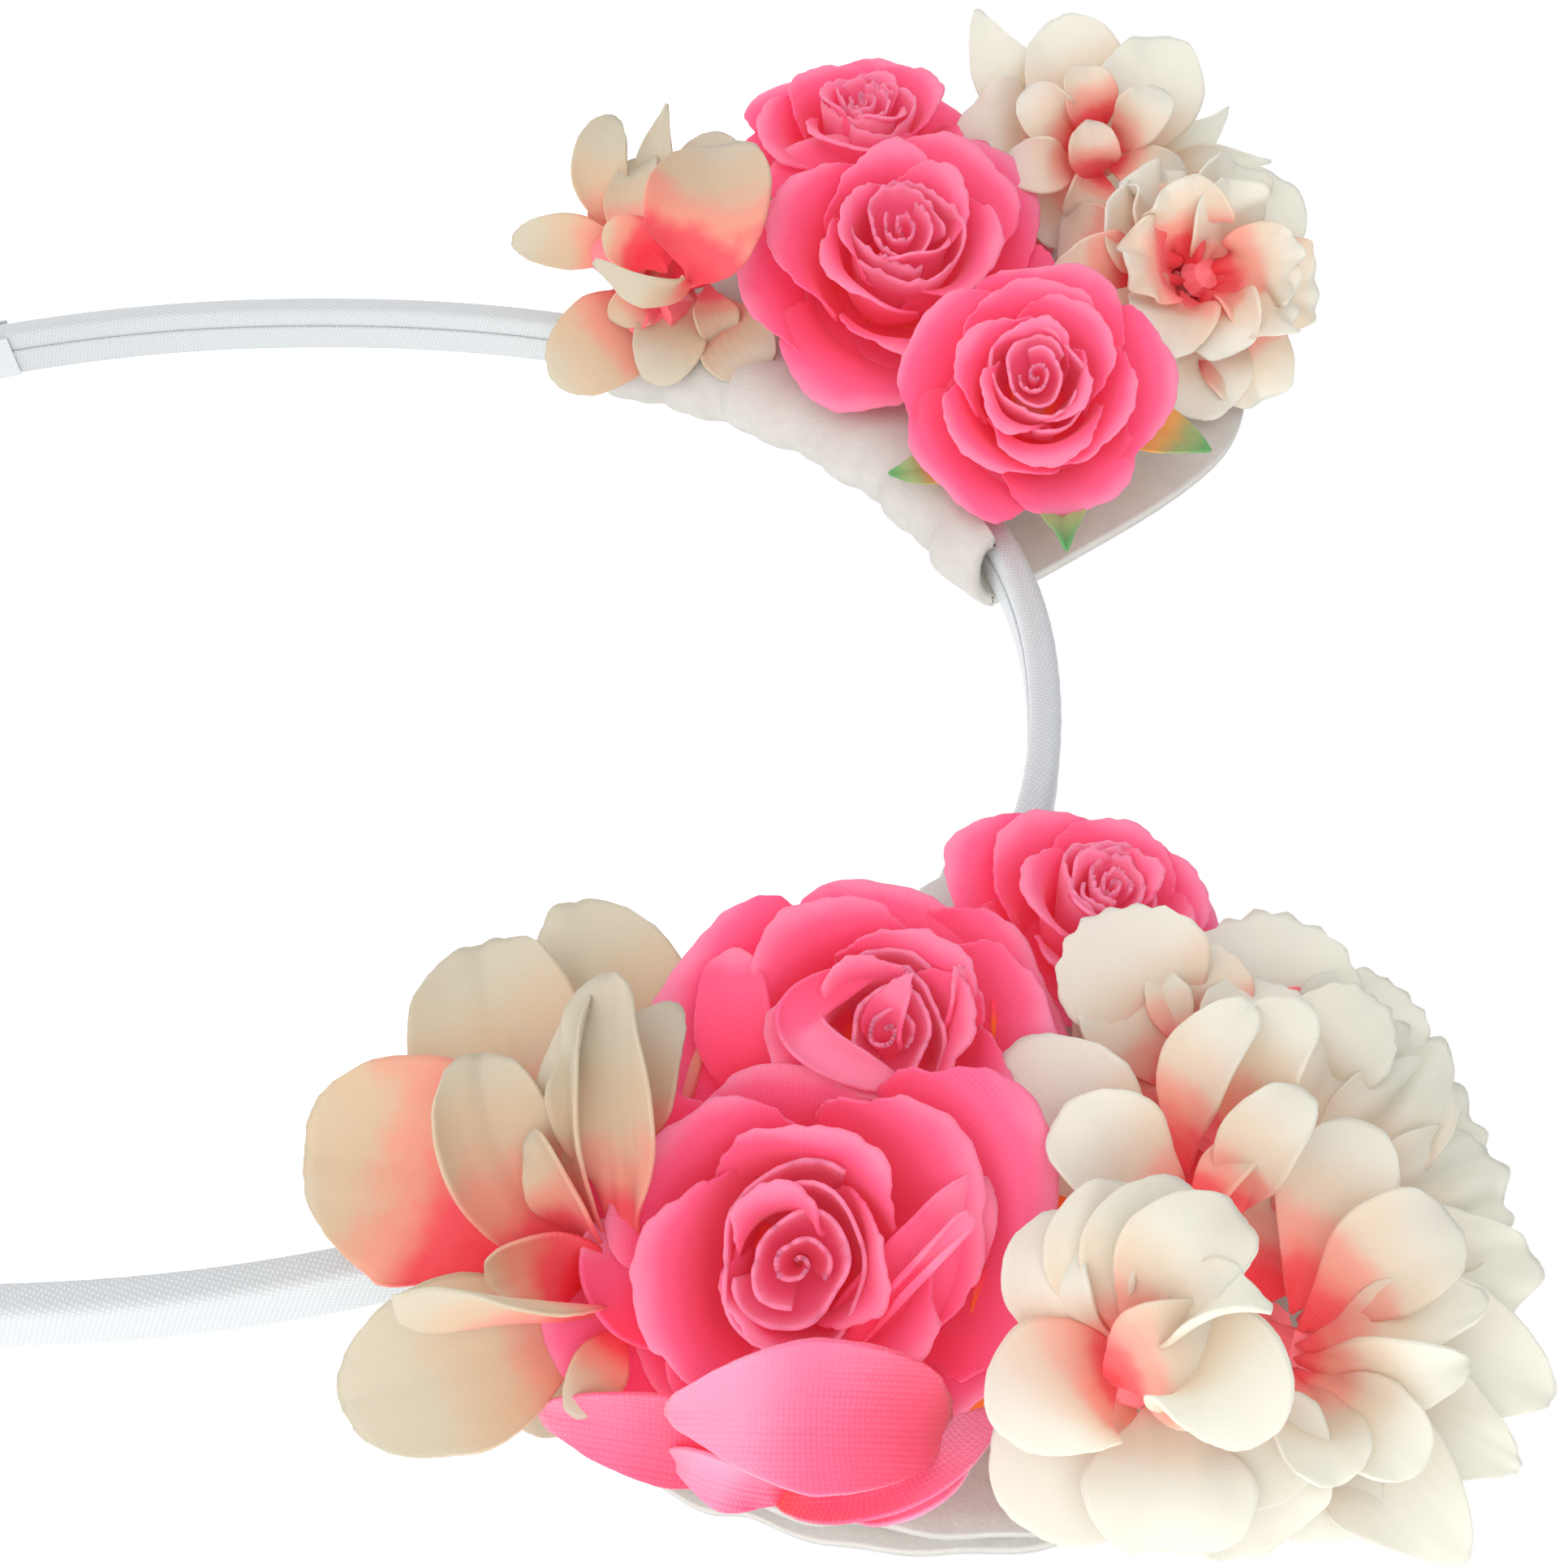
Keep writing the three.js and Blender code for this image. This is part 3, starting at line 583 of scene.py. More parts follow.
def free_petal(foot, middle, tip, width, facing, roll, cup, coral, waves, rows, seed, point=0.0,
               ruffle=0.4, nick=0.4, jag=0.0, narrow=0.3, crease=0.0, ripple=0.0):
    """A petal on a curved rib through three points, its face turned towards facing, then rolled.

    Point and narrow shape its tip and foot, and coral is how much further the foot's dye reaches.
    """
    chance = np.random.default_rng(seed)
    across, up, edge, turn = petal_disc(rows, chance, nick, jag)
    along = (up + 1.0) / 2.0
    foot, middle, tip = (np.array(p, dtype=float) for p in (foot, middle, tip))
    pull = 2.0 * middle - (foot + tip) / 2.0
    share = along[..., None]
    rib = (1 - share) ** 2 * foot + 2 * share * (1 - share) * pull + share ** 2 * tip
    run = 2 * (1 - share) * (pull - foot) + 2 * share * (tip - pull)
    run /= np.linalg.norm(run, axis=-1, keepdims=True)
    facing = np.array(facing, dtype=float)
    face = facing - (run @ facing)[..., None] * run
    face /= np.linalg.norm(face, axis=-1, keepdims=True)
    side = np.cross(face, run)
    bank = math.radians(roll)
    face, side = (face * math.cos(bank) + side * math.sin(bank),
                  side * math.cos(bank) - face * math.sin(bank))
    wide = (across * (narrow + (1.0 - narrow) * smoothed(along / 0.62))
            * (1.0 - point * np.clip((along - 0.5) / 0.5, 0.0, 1.0)))
    bend = max(cup, 0.02)
    sideways = np.sin(bend * wide) / bend * width / 2.0
    lifted = (1.0 - np.cos(bend * wide)) / bend * width / 2.0
    lifted = lifted + ruffled(edge, turn, chance, waves) * ruffle * 0.045 * width
    lifted = lifted - crease * width * np.exp(-(wide / 0.12) ** 2) * smoothed(along * 2.0)
    lifted = lifted + ripple * 0.035 * width * np.sin(wide * 11.0 + seed) * smoothed(along * 1.3)
    # Fine pressed veins that fan out from the foot.
    lifted = lifted + 0.006 * width * np.sin(wide * 26.0) * smoothed(along * 1.6) * (1.0 - along)
    grid = rib + side * sideways[..., None] + face * lifted[..., None]
    length = np.linalg.norm(middle - foot) + np.linalg.norm(tip - middle)
    threads = np.stack([wide * width / 2.0, along * length], axis=-1)
    return grid, threads, np.stack([across * 0.5 + 0.5, along - coral], axis=-1)


def free_petals(table, facing, waves, rows, seed, **common):
    """One petal for each row of a table: three points of its rib, width, roll, cup, coral and other looks.

    Waves are the ruffles round each petal, taken in turn.
    """
    return [free_petal(foot, middle, tip, width, facing, roll, cup, coral, waves[n % len(waves)], rows,
                       seed + n, **common, **looks)
            for n, (foot, middle, tip, width, roll, cup, coral, looks) in enumerate(table)]


def dyed_cloth(name, tones, pitch, weave_strength, rough, sheen, thin, mottle, painted_glow=0.0):
    """Petal cloth dyed from its foot to its rim.

    Tones are (place, sRGB hex) along the petal, pitch is its threads' spacing in millimetres, thin is
    the share of light that comes through, and painted_glow is how strongly the cloth glows in its own
    colour: painted light that lifts its shaded folds.
    """
    material, tree = new_material(name)
    tint = add_node(tree, "ShaderNodeUVMap", {"uv_map": "tint"})
    split = add_node(tree, "ShaderNodeSeparateXYZ", links={0: tint.outputs[0]})
    spot = add_node(tree, "ShaderNodeTexCoord")
    # The dye creeps unevenly, in patches of 3 to 5 mm.
    creep = add_node(tree, "ShaderNodeTexNoise", links={"Vector": spot.outputs["Object"], "Scale": 260.0,
                                                        "Detail": 3.0})
    shifted = add_node(tree, "ShaderNodeMath", {"operation": "MULTIPLY_ADD"},
                       {0: creep.outputs["Fac"], 1: mottle, 2: split.outputs["Y"]})
    level = add_node(tree, "ShaderNodeMath", {"operation": "SUBTRACT"},
                     {0: shifted.outputs[0], 1: mottle * 0.5})
    ramp = add_node(tree, "ShaderNodeValToRGB", links={"Fac": level.outputs[0]})
    ramp.color_ramp.interpolation = "EASE"
    stops = ramp.color_ramp.elements
    while len(stops) < len(tones):
        stops.new(0.5)
    for stop, (position, colour) in zip(stops, tones):
        stop.position = position
        stop.color = linear(colour)
    bump, threads = woven(tree, pitch, weave_strength)
    # Thread crowns are painted a little lighter and paler than the hollows: a painted highlight on the weave.
    lighter = add_node(tree, "ShaderNodeHueSaturation", links={"Color": ramp.outputs[0], "Value": 1.03,
                                                               "Saturation": 0.96})
    shaded = add_node(tree, "ShaderNodeMix", {"data_type": "RGBA"}, {0: threads.outputs[0]})
    tree.links.new(ramp.outputs[0], shaded.inputs[6])
    tree.links.new(lighter.outputs[0], shaded.inputs[7])
    # The emission is painted light: the cloth glows in its own colour, as if it were a lamp.
    cloth = add_node(tree, "ShaderNodeBsdfPrincipled",
                     links={"Base Color": shaded.outputs[2], "Roughness": rough, "Sheen Weight": sheen,
                            "Sheen Roughness": 0.5, "Emission Color": shaded.outputs[2],
                            "Emission Strength": painted_glow, "Normal": bump.outputs[0]})
    through_light(tree, cloth, shaded.outputs[2], thin)
    return material


# Matt spun polyester: brushed rims look dusty, and a faint glow in its own colour, painted light, keeps
# the pink bright in the shade. The threads are about 0.26 mm apart, drawn a little coarser.
rose_cloth = dyed_cloth("pink spun polyester",
                        [(0.0, "#ff9440"), (0.2, "#ff5c7c"), (0.45, "#fd6894"), (0.85, "#f873a0"),
                         (0.99, "#f89bbb")],
                        pitch=0.3, weave_strength=0.16, rough=0.85, sheen=0.25, thin=0.5, mottle=0.12,
                        painted_glow=0.09)

# Where each rose is glued, the way it faces (turned towards +X, then raised), and its radius.
ROSES = {
    "left_rose_1": ((66.4, -7.5, 74.8), 30, 0, 16.5),
    "left_rose_2": ((48.4, -7.5, 79.7), 25, 5, 15.5),
    "left_rose_3": ((37.9, -7.0, 97.2), 0, 12, 11.8),
    "right_rose_1": ((-36.1, -8.5, 96.1), 35, 0, 14.5),
    "right_rose_2": ((-59.4, -7.5, 80.8), 26, 5, 18.0),
    "right_rose_3": ((-74.5, -12.5, 76.7), 5, 5, 14.5),
}
# Petals of each ring: the way each points round the flower, half the turn that it wraps, and its length.
OUTER_RING = {
    "left_rose_1": [(182, 62, 0.76), (104, 52, 1.25), (48, 48, 0.95), (-96, 54, 1.22), (-30, 50, 0.9)],
    "left_rose_2": [(176, 62, 0.78), (112, 50, 0.95), (50, 45, 0.95), (-106, 52, 1.12), (-30, 54, 0.95)],
    "left_rose_3": [(186, 60, 0.78), (110, 55, 0.9), (35, 50, 1.0), (-50, 52, 1.05), (-112, 50, 1.15)],
    "right_rose_1": [(26, 52, 0.9), (92, 52, 1.0), (165, 52, 1.0), (238, 52, 1.0), (312, 52, 0.96)],
    "right_rose_2": [(-20, 52, 1.0), (55, 52, 1.05), (128, 52, 1.0), (200, 54, 1.0), (272, 52, 1.0)],
    "right_rose_3": [(10, 52, 1.0), (80, 52, 1.0), (150, 52, 1.0), (225, 52, 1.0), (300, 52, 1.0)],
}
# Petals that have come loose from their ring and rolled or folded, as rows for free_petals.
ROSE_FOLDS = {
    "left_rose_1": [
        ((77.1, -14, 78), (74.9, -19.9, 82.6), (71.1, -22.7, 87.1), 3.4, 10, 2.7, -0.3,
         {"narrow": 0.8, "ruffle": 0.5}),
        ((76.7, -10.8, 75.5), (73.8, -16.5, 82), (66.9, -20.5, 88.1), 8, -25, 0.6, -0.1,
         {"narrow": 0.7, "ruffle": 0.5}),
        ((78.2, -4.7, 86.7), (74.7, -9.6, 88.6), (70.6, -14.3, 88.2), 4, 0, 0.6, 0.78, {"narrow": 0.7}),
        ((67.8, -9, 90.8), (65.2, -12.8, 92.6), (62.6, -16.6, 91.2), 3.6, 0, 0.6, 0.82, {"narrow": 0.7}),
        ((73.9, -10.1, 66.3), (73.3, -15.1, 62.3), (69.3, -18.5, 61), 8, -30, 0.9, -0.1,
         {"narrow": 0.7, "ruffle": 0.6}),
    ],
    "left_rose_2": [
        ((49.6, -21.8, 80.5), (55.2, -22.6, 74.4), (58.4, -19.2, 82), 4.6, 0, 1.3, -0.35,
         {"narrow": 0.8, "ruffle": 0.5}),
        ((54.1, -15.7, 81.3), (53.4, -20, 81.1), (51.5, -24, 82.8), 5, 30, 1.3, -0.2,
         {"point": 0.6, "nick": 2.5}),
        ((52.8, -14.9, 84.5), (51.8, -19.1, 86.4), (50.2, -23.2, 86.3), 4.5, -30, 1.4, -0.2,
         {"point": 0.5, "nick": 2.5}),
        ((56.4, -12.2, 72.3), (53.3, -17.8, 69.7), (46.9, -20.9, 68.9), 7.5, 20, 0.9, 0,
         {"narrow": 0.6, "ruffle": 0.6}),
        ((54.7, -9.6, 73.8), (53.4, -14.7, 72.9), (50.8, -18.1, 73.4), 3.6, 0, 0.6, 0.8, {"narrow": 0.6}),
        ((52.4, -10.2, 90.1), (50.5, -14.4, 90.3), (47.6, -16.9, 89.9), 2.6, 0, 0.9, 0.6, {"narrow": 0.6}),
    ],
}
# Three inner layers of three petals that close towards the bud: where the first one points, half the
# turn that each wraps, its foot, its length and its leans.
INNER_LAYERS = [
    (0, 62, (0.17, 0.1), 1.0, (80, 42, 24, 30, 90)),
    (55, 68, (0.15, 0.13), 0.97, (68, 26, 10, 16, 75)),
    (110, 74, (0.12, 0.16), 0.92, (50, 12, 2, 6, 50)),
]
# The bud's strips: where each starts, its turns, its wide and tight radius, foot, height and closing.
BUD_STRIPS = [
    (-70, 1.2, 0.39, 0.29, 0.3, 0.95, 0.3),
    (60, 1.2, 0.27, 0.17, 0.6, 0.98, 0.85),
    (200, 1.4, 0.14, 0.02, 0.68, 0.95, 0.6),
]
for rose_number, (rose_name, (base, turn, lift, radius)) in enumerate(ROSES.items()):
    flower = FlowerFrame(base, turn, lift)
    seed = 100 * (rose_number + 1)
    hand = np.random.default_rng(seed)
    outer = [cupped_petal(flower, radius, around, spread, (0.2, 0.08), length,
                          (88, 62, 40 + hand.uniform(-7, 7), 50 + hand.uniform(-12, 12), 125),
                          ruffle=1.2, waves=3, rows=44, seed=seed + n)
             for n, (around, spread, length) in enumerate(OUTER_RING[rose_name])]
    start = OUTER_RING[rose_name][0][0] + 40
    # Short flat petals close the foot of the flower.
    outer += [cupped_petal(flower, radius, start + 72 * n, 55, (0.08, 0.1), 0.66, (86, 76, 68, 62, 70),
                           ruffle=0.8, waves=3, rows=24, seed=seed + 10 + n, tone=-0.15)
              for n in range(5)]
    # Each inner petal stands a little off its even place.
    inner = []
    for layer, (first, spread, foot, length, leans) in enumerate(INNER_LAYERS):
        for n in range(3):
            drift = hand.uniform(-1.0, 1.0, 3)
            inner.append(cupped_petal(flower, radius, start + first + 120.0 * n + 12 * drift[0], spread,
                                      foot, length * (1.0 + 0.05 * drift[1]),
                                      [lean + 5 * drift[2] for lean in leans], ruffle=0.9,
                                      waves=3 + n % 2, rows=38, seed=seed + 20 + 5 * layer + n, nick=1.3))
    inner += free_petals(ROSE_FOLDS.get(rose_name, []), flower.axis, waves=(4,), rows=26, seed=seed + 60)
    bud = [rolled_strip(flower, radius, start + first, *strip, seed=seed + 40 + n)
           for n, (first, *strip) in enumerate(BUD_STRIPS)]
    for ring, grids in (("outer_petals", outer), ("inner_petals", inner), ("bud", bud)):
        piece, area = cloth_object(f"{rose_name}_{ring}_cloth", grids, CLOTH_THICKNESS, rose_cloth)
        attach(piece, "root")
        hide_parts(f"{rose_name}_{ring}")

# The lowest petals of the front left rose are satin in the same dye, folded forward. Satin shines, and
# its ribs are drawn 0.42 mm apart, coarser than real ones, so that they show.
# Its tones run lighter than the plain cloth's: a painted sheen over the satin's real one.
rose_satin = dyed_cloth("pink polyester satin",
                        [(0.0, "#ff7a5e"), (0.35, "#ff6088"), (0.7, "#fd7ba4"), (0.99, "#fda6c6")],
                        pitch=0.42, weave_strength=1.0, rough=0.4, sheen=0.5, thin=0.4, mottle=0.12)
TOWARDS_FRONT_LEFT = (0.46, -0.886, -0.05)
SATIN_PETALS = [
    ((81.2, -12, 85.5), (84.5, -20, 76.1), (83.1, -17, 65.8), 11, 0, 0.8, -0.22,
     {"narrow": 0.9, "point": 0.6, "ruffle": 0.2}),
    ((82.2, -8, 74.6), (83, -12.5, 66.1), (80.2, -9.5, 55.7), 7.4, 20, 0.7, 0.1,
     {"narrow": 0.8, "point": 0.3, "ruffle": 0.3}),
    ((84.8, -8, 74.7), (86, -12.5, 70.2), (83.6, -11, 65.5), 4.8, 30, 0.8, -0.4,
     {"narrow": 0.8, "point": 0.4, "ruffle": 0.3}),
    ((85, -8, 72.7), (86, -13, 81.1), (79.7, -10, 88.6), 6.4, 25, 0.9, -0.1,
     {"narrow": 0.8, "point": 0.3, "ruffle": 0.3}),
    ((85.6, -7.5, 77.6), (86.5, -11.5, 82.5), (82.3, -9.5, 86.8), 4.2, 25, 0.9, -0.5,
     {"narrow": 0.8, "point": 0.3, "ruffle": 0.3}),
]
grids = free_petals(SATIN_PETALS, TOWARDS_FRONT_LEFT, waves=(4,), rows=34, seed=900)
piece, area = cloth_object("left_rose_1_satin_petals", grids, CLOTH_THICKNESS, rose_satin)
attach(piece, "root")

# --- Sepals -------------------------------------------------------------------------------
# One rose keeps its printed green calyx: five pointed cloth sepals, yellow-orange at the foot.

# Matt polyester, printed so that the yellow runs into the green in a soft edge.
sepal_cloth = dyed_cloth("green printed polyester",
                         [(0.0, "#f2b45a"), (0.6, "#f0c26a"), (0.78, "#a9c080"), (0.97, "#6fb26c")],
                         pitch=0.3, weave_strength=0.5, rough=0.8, sheen=0.2, thin=0.3, mottle=0.2)
flower = FlowerFrame(*ROSES["right_rose_1"][:3])
SEPALS = [
    ((-41.9, -5, 102.2), (-36.6, -5.5, 109.9), (-32.5, -6, 115.9), 7, 5, 0.6, 0, {}),
    ((-36.1, -5, 98.2), (-26.7, -5.8, 98.9), (-15.8, -7, 99.1), 8.6, 0, 0.6, 0, {}),
    ((-37.9, -6, 92.8), (-30, -7, 86.3), (-27.6, -7.5, 80.5), 5.5, 10, 0.6, 0, {}),
    ((-53.1, -6, 95.2), (-56.5, -6, 89.6), (-56.7, -6, 84.8), 6, 0, 0.6, 0, {}),
    ((-52.8, -6, 102.8), (-60.8, -6, 107.1), (-67.4, -6, 110.5), 6.5, 0, 0.6, 0, {}),
]
grids = free_petals(SEPALS, flower.axis, waves=(3,), rows=22, seed=950, point=0.7, ruffle=0.6, crease=0.04)
piece, area = cloth_object("right_rose_1_sepals_cloth", grids, CLOTH_THICKNESS, sepal_cloth)
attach(piece, "root")
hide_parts("right_rose_1_sepals")

# --- Blossoms -----------------------------------------------------------------------------
# Cream polyester cloth with coral dyed throats: an outer whorl of broad petals and an inner one
# of narrower folded ones, each whorl die-cut in one piece and threaded on a stalk.

# Thin spun polyester: matt, and light shows through it. The lowest blossoms, and one beside them, take a
# warmer and darker copy: a warmer cream of their own, and painted shade where less light reaches them.
white_blossom_cloth = dyed_cloth("white-cream polyester, coral throat",
                                 [(0.0, "#ff4a55"), (0.17, "#fb6d70"), (0.36, "#f6bba6"), (0.56, "#ecdfca"),
                                  (0.85, "#ebe9dc")],
                                 pitch=0.3, weave_strength=0.1, rough=0.7, sheen=0.2, thin=0.42, mottle=0.26)
shaded_warm_blossom_cloth = dyed_cloth("warm cream polyester, coral throat",
                                [(0.0, "#f83a52"), (0.22, "#f5606a"), (0.42, "#ecaa92"), (0.62, "#dcc6a6"),
                                 (0.9, "#d6cdb6")],
                                pitch=0.3, weave_strength=0.1, rough=0.75, sheen=0.2, thin=0.38, mottle=0.26)
SHADED_WARM_BLOSSOMS = ("left_blossom_1", "right_blossom_1", "right_blossom_2")

# The petals of each whorl, as rows for free_petals.
BLOSSOMS = {
    ("left_blossom_1", "outer"): [
        ((66.5, -11, 59), (56.6, -16, 52.2), (42.2, -16, 46.6), 16, 0, 0.6, 0,
         {"crease": 0.03, "ruffle": 0.6}),
        ((65.1, -11, 62), (53.1, -14, 59.6), (37.8, -14, 52.9), 17, 0, 0.5, 0,
         {"crease": -0.03, "ruffle": 0.6}),
        ((69.7, -10, 59.8), (63.8, -14, 47.8), (62.3, -15, 35.8), 19, 0, 0.7, 0.22, {"crease": 0.02}),
        ((72.7, -10, 60.7), (77.4, -13, 52.1), (80.8, -12, 41.7), 13.5, 0, 0.6, -0.12, {"crease": 0.02}),
        ((69.5, -9, 62.2), (72.4, -12, 57.3), (75.1, -12, 51.6), 12, 0, 0.3, 0.3, {}),
        ((73, -8, 61.1), (76.5, -7, 57.1), (78.5, -5, 52.9), 7, 0, 0.3, -0.1, {}),
    ],
    ("left_blossom_1", "inner"): [
        ((71.1, -14, 60.5), (67.8, -21, 54.2), (59.3, -25, 51), 11, -15, 1.1, 0.08, {"crease": 0.03}),
        ((70.7, -15, 61), (65.8, -24, 58.4), (54.8, -26, 58.6), 7, 50, 0.8, -0.1, {}),
        ((70.9, -16, 62), (65.1, -25, 61.8), (53.9, -27, 59.6), 10, 22, 1, -0.1, {"ruffle": 0.8}),
        ((68.5, -16, 62.6), (61.9, -22, 61.7), (53.7, -23, 65.3), 8.5, 5, 0.5, 0,
         {"ruffle": 0.3, "point": 0.3}),
        ((70.3, -13, 60), (69.9, -22, 58.4), (65.9, -24, 55.4), 6, 40, 0.9, 0.15, {}),
        ((71.3, -13, 61), (72.9, -18, 57.6), (74.2, -18, 52.5), 7, 30, 0.8, 0.35, {}),
        ((73.5, -12, 61.4), (77.8, -22, 54.8), (79.7, -27, 48.6), 13, 76, 0.5, -0.1, {}),
        ((74.3, -12, 62), (77.9, -13, 60.6), (81.5, -12, 58.6), 4.5, 20, 0.5, 0.1, {}),
    ],
    ("left_blossom_4", "outer"): [
        ((63.9, -12, 103.9), (61, -17, 95.9), (53.7, -18, 91.1), 12, 0, 0.5, -0.15, {}),
        ((65.3, -12, 104.4), (65.8, -21, 98), (63.3, -23, 93.4), 9.5, -10, 0.7, -0.1, {}),
        ((58.5, -10, 103.4), (50.7, -13, 101.6), (43.1, -14, 100.4), 12, 0, 0.5, 0.05, {}),
        ((70.5, -8, 107), (67.4, -11, 109.1), (61.1, -12, 110), 9, 0, 0.4, 0.3, {}),
        ((62.6, -9, 102.8), (59.8, -11, 105), (56.2, -11, 106), 7, 0, 0.4, 0.4, {}),
    ],
    ("left_blossom_4", "inner"): [
        ((62.4, -13, 103.5), (59.6, -22, 103.6), (55.8, -26, 107.9), 6.5, 25, 0.9, 0, {}),
        ((61.8, -12, 107.8), (59.6, -22, 108), (55.6, -26, 111.7), 7.5, 20, 0.9, 0, {}),
        ((66.5, -13, 106.3), (66, -22, 107), (62.5, -25, 110.8), 6.5, 15, 0.9, 0, {}),
        ((66.5, -13, 103.6), (66.8, -20, 104.6), (63.1, -20, 108.4), 4, 30, 0.9, 0.2, {}),
    ],
    ("left_blossom_5", "outer"): [
        ((51.7, -11, 104.6), (48.4, -18, 100.8), (42.8, -20, 98), 13, 0, 0.3, -0.1, {"jag": 1}),
        ((51.4, -7, 111.5), (46.8, -13, 111.6), (38.3, -14, 112.4), 15, 0, 0.35, -0.25, {"jag": 1}),
        ((52.2, -7, 114), (49.9, -13, 117.6), (44.8, -13, 121.8), 11, 10, 0.4, -0.3, {"jag": 1}),
        ((51.7, -11, 107.1), (49.6, -17, 105.5), (44.4, -18, 104.3), 9, 0, 0.5, 0.1, {"jag": 1}),
        ((50.5, -8, 106.3), (46.9, -12, 106.2), (40.8, -12, 105.9), 9, 0, 0.5, -0.15, {"jag": 1}),
    ],
    ("left_blossom_5", "inner"): [
        ((53.6, -11, 103.8), (50.8, -16, 100.7), (46.1, -17, 99.7), 10, 0, 0.7, -0.05, {"jag": 1}),
        ((52.4, -11, 109), (51.5, -17, 109.3), (48, -18, 110.5), 9, 10, 0.7, -0.1, {"jag": 1}),
        ((53.2, -11, 112.7), (53.4, -17, 114.9), (50.3, -18, 119.2), 9, 0, 0.5, -0.25, {"jag": 1}),
    ],
    ("left_blossom_3", "outer"): [
        ((68.3, -9, 109.8), (59.3, -15, 115.6), (49.2, -14, 122.1), 14, 10, 0.4, -0.1,
         {"ruffle": 0.7, "ripple": 1.2, "jag": 0.5}),
        ((69.6, -9, 110.2), (61.5, -14, 117.8), (54.5, -12, 125.8), 12, 0, 0.4, -0.1,
         {"ruffle": 0.7, "ripple": 1.2, "jag": 0.5}),
        ((70.9, -9, 110.7), (66.2, -14, 119.4), (61, -12, 127), 11, 0, 0.4, -0.1,
         {"ruffle": 0.7, "ripple": 1.2, "jag": 0.5}),
        ((72.2, -9, 111.1), (70.9, -13, 119.9), (68.7, -12, 128.6), 12, 0, 0.4, -0.2,
         {"ruffle": 0.5, "point": 0.5, "ripple": 0.8}),
        ((74.1, -9, 111.4), (75.7, -12, 119.8), (78.6, -11, 127.7), 12.5, 0, 0.4, -0.25,
         {"ruffle": 0.5, "point": 0.55}),
        ((75.5, -8, 110.8), (79.8, -11, 117.6), (83.3, -10, 124.5), 10.5, 0, 0.4, -0.3,
         {"ruffle": 0.5, "point": 0.6, "jag": 0.5}),
        ((76.8, -8, 109.5), (83.9, -11, 114.7), (89.4, -9, 119.9), 10.5, 0, 0.4, -0.3,
         {"ruffle": 0.4, "point": 0.5}),
        ((77.4, -8, 108.2), (83.6, -10, 110), (87.8, -8, 111.3), 10, 0, 0.4, -0.25, {"ruffle": 0.4}),
    ],
    ("left_blossom_3", "inner"): [
        ((73.6, -13, 109.8), (69, -20, 112.2), (63.3, -22, 115), 9, 15, 0.7, 0, {"ruffle": 0.7}),
        ((74.8, -13, 110.2), (74.1, -21.5, 114.5), (70.7, -22, 119.9), 8.5, 10, 0.7, 0, {"ruffle": 0.5}),
        ((76, -13, 110), (77.5, -20, 115.3), (75.9, -21, 121.4), 6.5, 25, 0.9, -0.1,
         {"ruffle": 0.5, "point": 0.4}),
        ((76.9, -13, 109.9), (81, -20, 114.2), (80.8, -21, 119.5), 6.5, -20, 0.8, -0.1,
         {"ruffle": 0.5, "point": 0.5}),
        ((77.8, -13, 109.5), (83.5, -18, 112.6), (86.6, -19, 116), 7, 0, 0.7, -0.1, {"ruffle": 0.6}),
        ((77.8, -13, 109.2), (84.1, -18, 109.3), (88.3, -19, 110.1), 7, 10, 0.7, -0.1, {"ruffle": 0.6}),
    ],
    ("left_blossom_2", "outer"): [
        ((79.1, -14, 98.3), (84.3, -14, 94.1), (88.8, -11, 91), 12, 0, 0.4, -0.2, {}),
        ((80.2, -14, 99.9), (86.9, -16.5, 99.6), (90.7, -13, 99.6), 12, 0, 0.4, -0.3, {}),
        ((80.2, -14, 102.7), (85.8, -14, 104.8), (89.3, -11, 106.9), 12, 0, 0.4, -0.3, {}),
        ((80, -15, 103.2), (84.6, -17, 105.7), (87.7, -16, 108), 9.5, 0, 0.5, -0.3, {}),
        ((79.3, -17, 97.8), (83.1, -22, 92.9), (87.3, -21, 90.4), 10.5, 0, 0.6, 0, {}),
    ],
    ("left_blossom_2", "inner"): [
        ((79.6, -19, 97.9), (84.4, -27, 101.4), (89.4, -27, 102), 10, 0, 0.7, -0.15, {}),
        ((79, -19, 97.1), (78, -24, 92.3), (72, -25, 93.5), 7, 25, 0.8, -0.2, {}),
        ((78.7, -19, 97.4), (76.7, -26, 94.9), (71.3, -27, 97.9), 7.5, 20, 0.9, -0.15, {}),
        ((78.7, -19, 97.7), (77.2, -27, 97.2), (71.9, -28, 101.3), 8, 15, 0.9, -0.15, {}),
        ((79, -19, 97.9), (78.8, -29, 99.2), (75.2, -30, 104.4), 8.5, 15, 0.9, -0.1, {}),
        ((79.5, -19, 98.2), (81.8, -30, 100.9), (82.1, -32, 104.6), 7, 62, 0.8, -0.15, {}),
        ((82.3, -21, 95.8), (83.4, -26, 98.3), (82, -26, 103.1), 9, -10, 0.8, 0.08, {}),
    ],
    ("right_blossom_1", "outer"): [
        ((-62.7, -12, 51.7), (-61.9, -15, 43.9), (-62.6, -15, 35.5), 6.8, 0, 0.4, 0, {}),
        ((-65.3, -12, 50.5), (-66.6, -20.1, 46.7), (-74.4, -24.2, 47.8), 7.5, 0, 0.7, -0.1, {}),
        ((-66.1, -12, 52.4), (-68.1, -20.1, 52.7), (-75, -25.2, 54.3), 5.5, 0, 0.5, -0.2, {"point": 0.7}),
        ((-65.9, -12, 56.4), (-71.3, -16.4, 58.4), (-79.6, -18.8, 59.1), 9, 0, 0.6, -0.2, {}),
